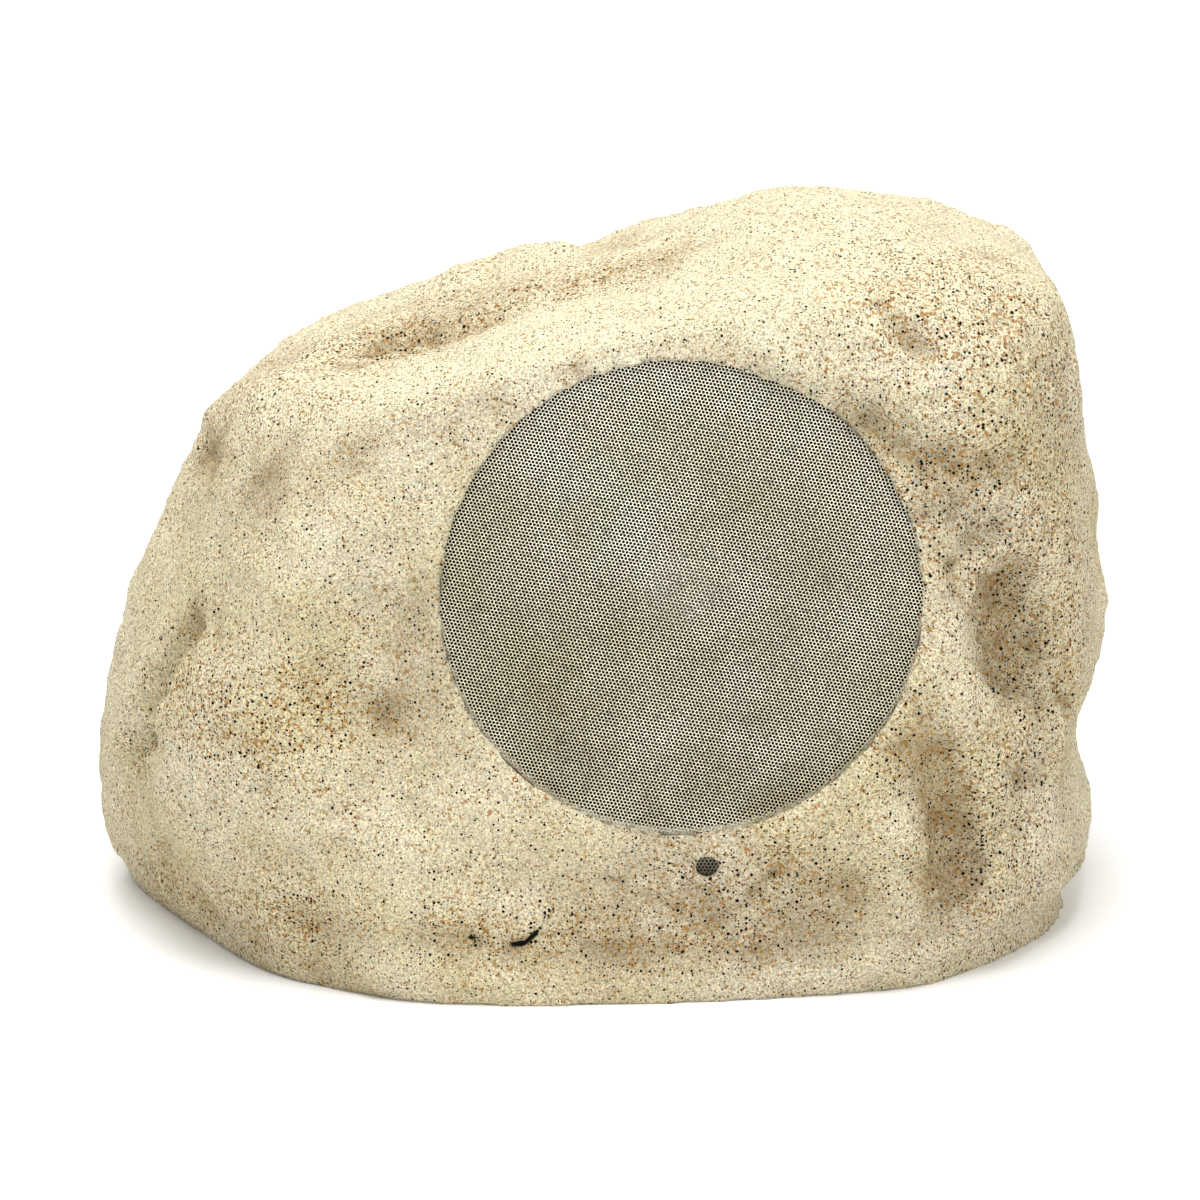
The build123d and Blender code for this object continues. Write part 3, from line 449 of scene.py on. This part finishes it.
CRUMBLY = (
    (((850, 420), (905, 445), (1000, 460)), 15),
    (((1000, 480), (1060, 540)), 15),
    (((930, 510), (1000, 528)), 10),
    (((985, 640), (1020, 690), (1066, 705)), 14),
    (((1005, 765), (1042, 782)), 12),
    (((945, 770), (960, 870)), 12),
    (((905, 450), (930, 560), (925, 680), (880, 785)), 7),
    (((470, 510), (441, 600), (455, 690)), 7),
    (((200, 620), (170, 690), (140, 760)), 12),
    (((430, 335), (360, 350)), 12),
    (((690, 900), (770, 880)), 14),
    (((960, 290), (1050, 380)), 20),
    (((870, 430), (940, 500), (985, 600), (1015, 690), (1030, 770), (965, 860)), 24),
)
OCHRE = (
    (((330, 350), (430, 330), (560, 275)), 24),
    (((235, 405), (330, 365), (450, 310)), 34),
    (((940, 290), (1060, 420)), 34),
    (((1000, 480), (1050, 600), (1030, 720)), 32),
    (((960, 800), (1020, 900)), 28),
    (((190, 690), (260, 740), (330, 700)), 20),
    (((150, 880), (300, 920)), 18),
    (((440, 930), (760, 945)), 9),
    (((560, 290), (640, 270)), 16),
    (((700, 890), (800, 880)), 18),
)
# Patches darkened olive-brown, each with a strength: painted shade on the flanks, in hollows and along the foot,
# partly real stains
SHADE_AND_STAINS = (
    (((905, 430), (960, 530), (1000, 640), (1020, 720)), 22, 0.3),
    (((925, 745), (942, 820), (968, 875)), 20, 0.35),
    (((690, 895), (760, 890), (850, 885)), 18, 0.3),
    (((440, 590), (400, 700)), 22, 0.25),
    (((235, 405), (330, 365), (450, 312)), 34, 0.4),
    (((400, 345), (560, 290), (640, 265)), 14, 0.3),
    (((215, 470), (285, 495)), 16, 0.3),
    (((200, 640), (240, 720), (300, 700)), 20, 0.22),
    (((250, 950), (400, 985), (600, 998), (900, 975)), 14, 0.3),
    (((1060, 420), (1085, 560), (1080, 700), (1075, 840)), 24, 0.25),
)
print("strokes", len(STROKES), "crumbly", len(CRUMBLY), "ochre", len(OCHRE), "shade_and_stains", len(SHADE_AND_STAINS))

# %% Lay the strokes on the stone
crack_sharpness = 1.4
crack_shade_width = 1.8
fray_seed = 7
tree = BVHTree.FromBMesh(skin)
points = np.array([v.co for v in skin.verts])
normals = np.array([v.normal for v in skin.verts])
noise.seed_set(fray_seed)
frayed = points.copy()
for size, reach in ((15 * MM, 3.2 * MM), (5 * MM, 1.0 * MM)):
    frayed += np.array([noise.noise_vector(Vector(p) / size) for p in points]) * reach


def on_stone(pixel):
    """The point of the stone behind a pixel of the photo."""
    hit = tree.ray_cast(camera_place, photo_ray(*pixel))[0]
    return None if hit is None else np.array(hit)


def line_distance(pixels):
    """How far each point of the skin lies from a line of photo pixels on the stone, frayed by noise."""
    line = [spot for spot in (on_stone(pixel) for pixel in pixels) if spot is not None]
    nearest = np.full(len(points), 1.0)
    for start, end in zip(line, line[1:]):
        run = end - start
        along = np.clip(((frayed - start) @ run) / (run @ run), 0, 1)
        nearest = np.minimum(nearest, np.linalg.norm(frayed - start - along[:, None] * run, axis=1))
    return nearest


def soft_share(pixels, width):
    """A round share of a line that fades over a width in millimetres."""
    return np.exp(-((line_distance(pixels) / (width * MM)) ** 2))


def sharp_share(pixels, width):
    """A share of a line that comes to an edge at its middle and ends at a width in millimetres."""
    return np.clip(1 - line_distance(pixels) / (width * MM), 0, 1) ** crack_sharpness


cut = np.zeros(len(points))
for kind, name, pixels, width, depth in STROKES:
    share_of = sharp_share if kind == "crack" else soft_share
    cut += depth * MM * share_of(pixels, width)
crumbly = np.max([soft_share(pixels, width) for pixels, width in CRUMBLY], axis=0)
shade_and_stain = np.max([share * soft_share(pixels, width) for pixels, width, share in SHADE_AND_STAINS], axis=0)
ochre = np.max([soft_share(pixels, width) for pixels, width in OCHRE], axis=0)
# Two cracks are painted near-black along their lines, as painted shade in them.
shaded_crack_lines = [pixels for kind, name, pixels, width, depth in STROKES if name.startswith("dark crack")]
crack_shade = np.max([soft_share(pixels, crack_shade_width) for pixels in shaded_crack_lines], axis=0)
print("deepest", round(cut.max() / MM, 1), "mm, highest", round(-cut.min() / MM, 1), "mm")

# %% [markdown]
# Weathering is not drawn by hand. Fractal noise lays broad swells of 70 mm, lumps of 24 mm and crumbs of 9
# and 6 mm on the stone. The crumbs are coarser in the crumbly zones, and there the surface is also broken
# into chips of 11 mm, as it is in patches of the back. Nothing is moved inside the grille's recess, the vent
# and the cable's pocket, and the foot stays flat.

# %% Weathering
fractal_falloff, fractal_step = 0.9, 2.1
chip_width, chip_level = 0.5, 0.3
crumb_gain = 3.2
back_reach, back_gain = 60 * MM, 0.7
broken_level = 0.3


def roughness_of(size, octaves, height, offset):
    """Fractal noise at every point of the skin, of a size and a height in millimetres."""
    shift = Vector((offset, offset, offset))
    spots = [Vector(p) / (size * MM) + shift for p in points]
    values = [noise.fractal(spot, fractal_falloff, fractal_step, octaves) for spot in spots]
    return np.array(values) * height * MM


def roughness_chips(size, height):
    """Broken stone: rounded chips of a size with cracks between them, in millimetres."""
    gaps = [noise.voronoi(Vector(p) / (size * MM))[0] for p in frayed]
    return np.array([min(gap[1] - gap[0], chip_width) - chip_level for gap in gaps]) * height * MM


def rising(values, start, reach):
    """Zero up to a start, then rising to one over a reach."""
    return np.clip((values - start) / reach, 0, 1)


swells = roughness_of(70, 3, 2.8, 3.1) + roughness_of(24, 3, 1.9, 7.7)
crumbs = roughness_of(9, 2, 0.6, 4.4) + roughness_of(6, 2, 0.5, 1.3) * (1 + crumb_gain * crumbly)
behind = rising(points[:, 1], 0, back_reach)
broken = np.clip(roughness_of(60, 2, 2.0, 9.1) / MM - broken_level, 0, 1) * behind
chips = roughness_chips(11, 3.6) * np.maximum(crumbly, broken)
weather = swells * (1 + back_gain * behind) + crumbs + chips
print("weathering from", round(weather.min() / MM, 1), "to", round(weather.max() / MM, 1), "mm")

# %% Where the weather doesn't reach
recess_radius, recess_depth = 84.4 * MM, 19 * MM
vent_margin, gland_margin = 4.5 * MM, 17 * MM
local = (points - np.array(baffle_middle)) @ np.array(baffle.to_3x3())
from_axis = np.hypot(local[:, 0], local[:, 1])
from_vent = np.hypot(local[:, 0] - vent_place[0], local[:, 1] - vent_place[1])
from_gland = np.hypot(points[:, 0], points[:, 2] - gland_height)
in_front = points[:, 1] < 0
free = np.where(in_front, rising(from_axis, recess_radius, 4 * MM), 1.0)
free *= np.where(in_front, rising(from_vent, vent_margin, 3 * MM), 1.0)
free *= np.where(in_front, 1.0, rising(from_gland, gland_margin, 3 * MM))
print("points held still", int((free == 0).sum()))

# %% [markdown]
# The stone comes up level with the grille all round it, a little before its face. The right flank is drawn
# in above the foot, where the photo shows it slimmer.

# %% Move the points
grille_depth = 16 * MM
brim_depth = grille_depth + 1.6 * MM
brim_radius, brim_fade = 98 * MM, 12 * MM
flank_height, flank_spread, flank_pull = 45 * MM, 30 * MM, 4 * MM
flank_start, flank_fade = 0.12, 0.05
under_height = 0.03
face_slope, under_slope = 0.35, -0.5
outward = normals @ np.array(facing)
face_points = in_front & (outward > face_slope) & (from_axis > recess_radius - 1 * MM)
level = np.clip((brim_radius - from_axis) / brim_fade, 0, 1)
level = np.where(face_points, level * level * (3 - 2 * level), 0.0)
lift = (brim_depth - local[:, 2]) * level
move = normals * ((weather - cut) * free)[:, None]
move *= rising(points[:, 2], 1 * MM, 10 * MM)[:, None]
move += lift[:, None] * np.array(facing)
flank = np.exp(-(((points[:, 2] - flank_height) / flank_spread) ** 2))
flank = flank * rising(points[:, 0], flank_start, flank_fade)
move[:, 0] -= flank_pull * flank
local[:, 2] += lift
under_foot = (normals[:, 2] < under_slope) & (points[:, 2] < under_height)
move[under_foot] = 0
print("moved by up to", round(float(np.linalg.norm(move, axis=1).max()) / MM, 1), "mm")

# %% [markdown]
# The voxels leave the recess's wall a little ragged. Its points are put on a slightly uneven lip that just
# overlaps the grille's edge, as the real stone does, and those of the vent on a circle of their own. The
# stored numbers for the paint come last.

# %% True up the recess and the vent
wave_length, wave_height = 7 * MM, 0.7 * MM


def snap_round(middle, radius, inner, outer, low, high):
    """Moves points of a round wall onto a slightly uneven radius, fading out over the outer reach."""
    offset = local[:, :2] - np.array(middle)
    distance = np.linalg.norm(offset, axis=1)
    wall = (distance > radius - inner) & (distance < radius + outer)
    wall &= (local[:, 2] > low) & (local[:, 2] < high)
    uneven = np.array([noise.noise(Vector(p) / wave_length) for p in points[wall]]) * wave_height
    share = np.clip((radius + outer - distance[wall]) / (0.5 * outer), 0, 1)
    pull = offset[wall] / distance[wall][:, None] * ((radius + uneven - distance[wall]) * share)[:, None]
    move[wall] += np.column_stack([pull, np.zeros(len(pull))]) @ np.array(baffle.to_3x3()).T
    return int(wall.sum())


grille_radius = 84 * MM
lip_radius = grille_radius - 0.9 * MM
lip_low, lip_high = grille_depth - 1.5 * MM, recess_depth + 6 * MM
snapped = snap_round((0, 0), lip_radius, 2.0 * MM, 5.0 * MM, lip_low, lip_high)
vent_radius = 4.1 * MM
around_vent = in_front & (from_vent > 6 * MM) & (from_vent < 9 * MM)
vent_rim = float(np.median(local[around_vent, 2]))
snapped += snap_round(vent_place, vent_radius, 1.5 * MM, 2.5 * MM, 8 * MM, recess_depth + 2 * MM)
print(snapped, "points trued, vent's brim", round(vent_rim / MM, 1), "mm before the baffle")

# %% Store the paint's numbers and finish the boulder
shade_and_wash_depth, shade_and_wash_limit = 11 * MM, 0.5
shade_and_stain_share, crack_shade_share = 0.55, 0.85
room_back, recess_front = -20 * MM, 14.6 * MM
behind_grille = (from_axis < recess_radius + 1 * MM) & (local[:, 2] < recess_front) & (level == 0)
behind_vent = (from_vent < vent_radius + 1 * MM) & (local[:, 2] < vent_rim - 1.8 * MM)
inside = in_front & (local[:, 2] > room_back) & (behind_grille | behind_vent)
# Painted shade, partly a real wash and stains: deep cuts, low ground and the listed patches are darkened
shade_and_wash = (cut * free - swells * 0.5 - crumbs) / shade_and_wash_depth + shade_and_stain_share * shade_and_stain * free
painted = {
    "hollow": np.clip(shade_and_wash, 0, shade_and_wash_limit),
    "ochre": np.clip(ochre + 0.5 * crumbly + 0.7 * broken, 0, 1),
    # Painted light: the top is paler and warmer by its slope, partly paler paint there
    "top_light_and_bleach": rising(normals[:, 2], 0.05, 0.85) * free,
    # Painted shade: black in the recess behind the grille and the vent, and along two cracks
    "painted_black_shade": np.maximum(np.where(inside, 1.0, 0.0), crack_shade_share * crack_shade),
}
layers = {name: skin.verts.layers.float.new(name) for name in painted}
for index, vertex in enumerate(skin.verts):
    vertex.co += Vector(move[index])
    vertex.co.z = max(vertex.co.z, 0.0)
    for name, values in painted.items():
        vertex[layers[name]] = float(values[index])
skin.normal_update()
boulder = finished(skin, "sculpted_boulder", sandstone)
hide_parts("rock_shell")
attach(boulder, "boulder")
print("boulder", triangles(boulder), "triangles")

# %% [markdown]
# ## Grille
# The real grille is punched from thin steel with thousands of fine round holes in staggered rows, about
# 1.3 mm apart, and its edge is folded back. One hexagonal cell with a hole is enough: arrays repeat it, cells
# outside the round are dropped, and a narrow spun rim closes their ragged edge and runs back into the
# recess. The rows run down to the right as in the photo.

# %% One cell, repeated
def perforated_disc(pitch, hole, reach):
    """A flat perforated sheet, round, in the plane of its middle."""
    cell = bmesh.new()
    bmesh.ops.create_circle(cell, cap_ends=True, segments=6, radius=pitch / math.sqrt(3))
    web = (pitch - hole) / 2
    bmesh.ops.inset_individual(cell, faces=cell.faces[:], thickness=web, use_even_offset=True)
    punched = min(cell.faces, key=lambda f: f.calc_center_median().length)
    bmesh.ops.delete(cell, geom=[punched], context="FACES_ONLY")
    first = cell.verts[:] + cell.edges[:] + cell.faces[:]
    second = bmesh.ops.duplicate(cell, geom=first)["geom"]
    row = pitch * math.sqrt(3) / 2
    shifted = [g for g in second if isinstance(g, bmesh.types.BMVert)]
    bmesh.ops.translate(cell, vec=(pitch / 2, row, 0), verts=shifted)
    columns, rows = 2 * math.ceil(reach / pitch) + 1, 2 * math.ceil(reach / (2 * row)) + 1
    corner = (-(columns - 1) / 2 * pitch, -(rows - 1) * row, 0)
    bmesh.ops.translate(cell, vec=corner, verts=cell.verts)
    sheet = finished(cell, "sheet_cell", sandstone)
    for count, step in ((columns, (pitch, 0, 0)), (rows, (0, 2 * row, 0))):
        repeat = sheet.modifiers.new("Repeat", "ARRAY")
        repeat.use_relative_offset = False
        repeat.use_constant_offset = True
        repeat.constant_offset_displace = step
        repeat.count = count
    disc = bmesh.new()
    disc.from_mesh(applied(sheet))
    far = [f for f in disc.faces if f.calc_center_median().length > reach]
    bmesh.ops.delete(disc, geom=far, context="FACES")
    bmesh.ops.remove_doubles(disc, verts=disc.verts, dist=pitch / 50)
    return disc


hole_pitch = 1.3 * MM
hole_width = 1.0 * MM
fold_radius = 0.3 * MM
row_slope = Matrix.Rotation(math.radians(-11), 3, "Z")
sheet_inset = 0.05 * MM
grille_sheet = perforated_disc(hole_pitch, hole_width, grille_radius - fold_radius)
bmesh.ops.rotate(grille_sheet, cent=(0, 0, 0), matrix=row_slope, verts=grille_sheet.verts)
bmesh.ops.translate(grille_sheet, vec=(0, 0, grille_depth - sheet_inset), verts=grille_sheet.verts)
print("sheet", len(grille_sheet.faces), "faces")

# %% Folded edge and paint
fold_start = 0.5 * MM
fold_steps = 3
rim_segments = 144
grille_shade_limit, grille_shade_level = 0.3, 0.55
fold = [grille_sheet.verts.new((grille_radius - fold_start, 0, grille_depth))]
for step in range(fold_steps + 1):
    bend = math.pi / 2 * step / fold_steps
    reach = grille_radius - fold_radius + fold_radius * math.sin(bend)
    fold.append(grille_sheet.verts.new((reach, 0, grille_depth - fold_radius * (1 - math.cos(bend)))))
fold.append(grille_sheet.verts.new((grille_radius, 0, 0)))
fold_edges = [grille_sheet.edges.new(pair) for pair in zip(fold, fold[1:])]
bmesh.ops.spin(
    grille_sheet,
    geom=fold + fold_edges,
    cent=(0, 0, 0),
    axis=(0, 0, 1),
    angle=2 * math.pi,
    steps=rim_segments,
    use_merge=True,
)
rim_faces = [f for f in grille_sheet.faces if f.calc_center_median().to_2d().length > grille_radius - MM]
bmesh.ops.recalc_face_normals(grille_sheet, faces=rim_faces)
bmesh.ops.transform(grille_sheet, matrix=baffle, verts=grille_sheet.verts)
grille_paint = stone_paint("stone_paint_on_steel", "#ddd7ba", "#f4f0dc", 0.15 * MM, 0.1, 0.25)
# Painted shade: the grille's paint is darker towards its bottom, stored as its hollow number
grille_shade = grille_sheet.verts.layers.float.new("hollow")
for vertex in grille_sheet.verts:
    height = (to_baffle @ vertex.co).y / (2 * grille_radius)
    vertex[grille_shade] = grille_shade_limit * min(max(grille_shade_level - height, 0), 1)
grille = finished(grille_sheet, "perforated_grille", grille_paint, smooth=False)
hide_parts("grille")
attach(grille, "boulder")
print("grille", triangles(grille), "triangles")

# %% [markdown]
# ## Vent screen
# The small hole under the grille lets the air pressure inside and out even out. A scrap of the same
# perforated steel is glued behind it, so the same cell makes it.

# %% Screen in the vent
vent_face = vent_rim - 0.5 * MM
vent_hole = 0.78 * MM
vent_overlap = 0.6 * MM
vent_sheet = perforated_disc(hole_pitch, vent_hole, vent_radius + vent_overlap)
bmesh.ops.translate(vent_sheet, vec=(*vent_place, vent_face), verts=vent_sheet.verts)
bmesh.ops.transform(vent_sheet, matrix=baffle, verts=vent_sheet.verts)
vent_screen = finished(vent_sheet, "vent_mesh", grille_paint, smooth=False)
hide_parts("vent_screen")
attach(vent_screen, "boulder")
print("vent screen", len(vent_screen.data.polygons), "faces")

# %% [markdown]
# ## Driver and inner pieces
# Behind the grille little is seen, but it must be dark and it must be right: black butyl rubber, a satin
# polypropylene cone, a lacquered basket. Moulded plastics share one recipe, metals another, cloth a third.
# Sizes of grain, streak and thread are in millimetres.

# %% Finishes of the inner pieces
def moulded(name, colour, grain, roughness, dent, gloss_level=0.5):
    """Moulded or pressed stuff: one colour, slightly uneven, with the mould's fine grain."""
    material = new_material(name)
    place = object_place(material)
    grains = clouds(material, place, grain * MM, 3.0)
    shade = ramp(material, clouds(material, place, 35 * MM, 2.0), 0.3, 0.7, 0.8, 1.2)
    settings = {
        "Base Color": mixed(material, 1.0, colour, shade, "MULTIPLY"),
        "Roughness": ramp(material, grains, 0.3, 0.7, roughness - 0.08, roughness + 0.08),
        "IOR": 1.5,
        "Specular IOR Level": gloss_level,
        "Normal": bumped(material, grains, 0.5, dent * MM),
    }
    surface(material, settings)
    return material


def metal(name, colour, streak, roughness):
    """Bare or plated metal with the fine streaks of turning or rolling."""
    material = new_material(name)
    stretch = {"Vector": object_place(material), "Scale": (1.0, 1.0, 8.0)}
    stretched = add_node(material, "ShaderNodeMapping", stretch).outputs[0]
    streaks = clouds(material, stretched, streak * MM, 4.0)
    settings = {
        "Base Color": colour,
        "Metallic": 1.0,
        "Roughness": ramp(material, streaks, 0.3, 0.7, roughness - 0.07, roughness + 0.1),
        "Normal": bumped(material, streaks, 0.2, 0.05 * MM),
    }
    surface(material, settings)
    return material


def woven(name, colour, thread, roughness):
    """Impregnated cloth: two crossed sets of threads."""
    material = new_material(name)
    place = object_place(material)
    threads = []
    for direction in ("X", "Z"):
        settings = {"bands_direction": direction, "Vector": place, "Scale": 0.05 / (thread * MM)}
        threads.append(add_node(material, "ShaderNodeTexWave", settings).outputs["Fac"])
    weave = reckon(material, "MAXIMUM", *threads)
    shade = ramp(material, weave, 0.0, 1.0, 0.6, 1.1)
    settings = {
        "Base Color": mixed(material, 1.0, colour, shade, "MULTIPLY"),
        "Roughness": roughness,
        "Normal": bumped(material, weave, 0.5, 0.1 * MM),
    }
    surface(material, settings)
    return material


FINISHES = {
    "black_plastic": moulded("black_abs", "#161616", 0.8, 0.7, 0.1, 0.15),
    "black_rubber": moulded("butyl_rubber", "#121212", 1.2, 0.8, 0.1, 0.12),
    "black_steel": moulded("black_lacquered_steel", "#131315", 2.0, 0.7, 0.05, 0.12),
    "cone_plastic": moulded("polypropylene_cone", "#141416", 1.0, 0.7, 0.08, 0.12),
    "ferrite": moulded("sintered_ferrite", "#2f2f31", 0.5, 0.7, 0.15),
    "brown_board": moulded("phenolic_board", "#5a3a1e", 1.5, 0.6, 0.05),
    "green_board": moulded("varnished_board", "#23502c", 2.5, 0.4, 0.03),
    "capacitor_sleeve": moulded("shrunk_sleeve", "#2b3566", 3.0, 0.35, 0.03),
    "ceramic_resistor": moulded("white_ceramic", "#e2ded2", 0.6, 0.8, 0.1),
    "green_plastic": moulded("green_polyamide", "#2b7a4a", 0.8, 0.5, 0.05),
    "lead_sleeve": moulded("lead_pvc", "#1a1a1a", 1.0, 0.55, 0.04),
    "steel": metal("zinc_plated_steel", "#b9bcc0", 0.8, 0.35),
    "plated_steel": metal("black_zinc_plated_steel", "#26272a", 1.0, 0.5),
    "polyimide_film": moulded("polyimide_film", "#1d1209", 0.8, 0.6, 0.02, 0.15),
    "copper_wire": metal("enamelled_copper", "#b06a3c", 0.5, 0.3),
    "brass_post": metal("turned_brass", "#c9a25a", 0.5, 0.3),
    "brass_tags": metal("tinned_brass", "#cfc3a2", 0.8, 0.35),
    "spider_cloth": woven("impregnated_cotton", "#b48a45", 0.7, 0.85),
    "dome_cloth": woven("coated_silk", "#1c1c1e", 0.3, 0.6),
    "stone": sandstone,
    "painted_grille": grille_paint,
}
for part in frame["record"]["subparts"]:
    node = frame["nodes"][part["node"]]
    node.data.materials.clear()
    node.data.materials.append(FINISHES[part["material_slot"]])
print("finishes", len(FINISHES))

# %% [markdown]
# ## Surround and spider
# These two bend when the cone moves: their outer edges are glued to the basket, their inner edges to the
# cone and its coil. Each mesh is copied with its finish in place of the CAD piece. The two heights,
# in millimetres before the baffle, say where it stays and where it follows.

# %% Rubber roll and corrugated cloth
for name, node, slot, still, moving in (
    ("rubber_roll", "woofer_surround", "black_rubber", 3.8, -3.0),
    ("corrugated_disc", "woofer_spider", "spider_cloth", -43.5, -36.5),
):
    piece = finished(cad_copy(node), name, FINISHES[slot])
    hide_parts(node)
    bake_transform(piece)
    print(name, len(piece.data.polygons), "faces")

# %% [markdown]
# ## Studio
# The photo was cut out on white, under soft light from above and a little from both sides, so a pale floor,
# a large light overhead, two weaker ones at the front and a bright surround repeat it. The light behind
# whitens the floor up to the picture's top.

# %% Floor and surround
FLOOR_SIZE = 6.0
SURROUND_STRENGTH = 0.42
floor_bm = bmesh.new()
bmesh.ops.create_grid(floor_bm, x_segments=1, y_segments=1, size=FLOOR_SIZE)
floor_paint = new_material("white_backdrop")
dust = add_node(floor_paint, "ShaderNodeTexNoise", {"Scale": 3.0}).outputs["Fac"]
floor_shade = ramp(floor_paint, dust, 0.0, 1.0, 0.93, 0.96)
surface(floor_paint, {"Base Color": floor_shade, "Roughness": 0.9})
floor = finished(floor_bm, "floor", floor_paint)

world = bpy.data.worlds.new("studio")
bpy.context.scene.world = world
world.use_nodes = True
surround = world.node_tree.nodes["Background"]
surround.inputs["Color"].default_value = (1.0, 1.0, 1.0, 1.0)
surround.inputs["Strength"].default_value = SURROUND_STRENGTH
print("floor", FLOOR_SIZE, "m each way, surround", SURROUND_STRENGTH)

# %% Lights: name, place, aim, size in metres and power in watts
LIGHTS = (
    ("overhead", Vector((-0.15, -0.35, 1.6)), Vector((0, 0, 0.1)), 1.2, 31),
    ("front_left", Vector((-1.3, -1.8, 1.1)), Vector((0, 0, 0.1)), 1.0, 7.5),
    ("right_fill", Vector((1.7, -1.3, 0.9)), Vector((0, 0, 0.1)), 1.0, 16),
    ("backdrop", Vector((0, 4.5, 2.8)), Vector((0, 4.5, 0)), 5.0, 150),
)
for name, place, aim, size, power in LIGHTS:
    light_data = bpy.data.lights.new(name, "AREA")
    light_data.size = size
    light_data.energy = power
    light = bpy.data.objects.new(name, light_data)
    light.location = place
    light.rotation_euler = (aim - place).to_track_quat("-Z", "Y").to_euler()
    bpy.context.scene.collection.objects.link(light)
print("lights", len(LIGHTS))

# %% [markdown]
# ## Finish
# The sculpted model may stand only a little proud of the CAD box.

# %% Finish
bpy.context.view_layer.update()
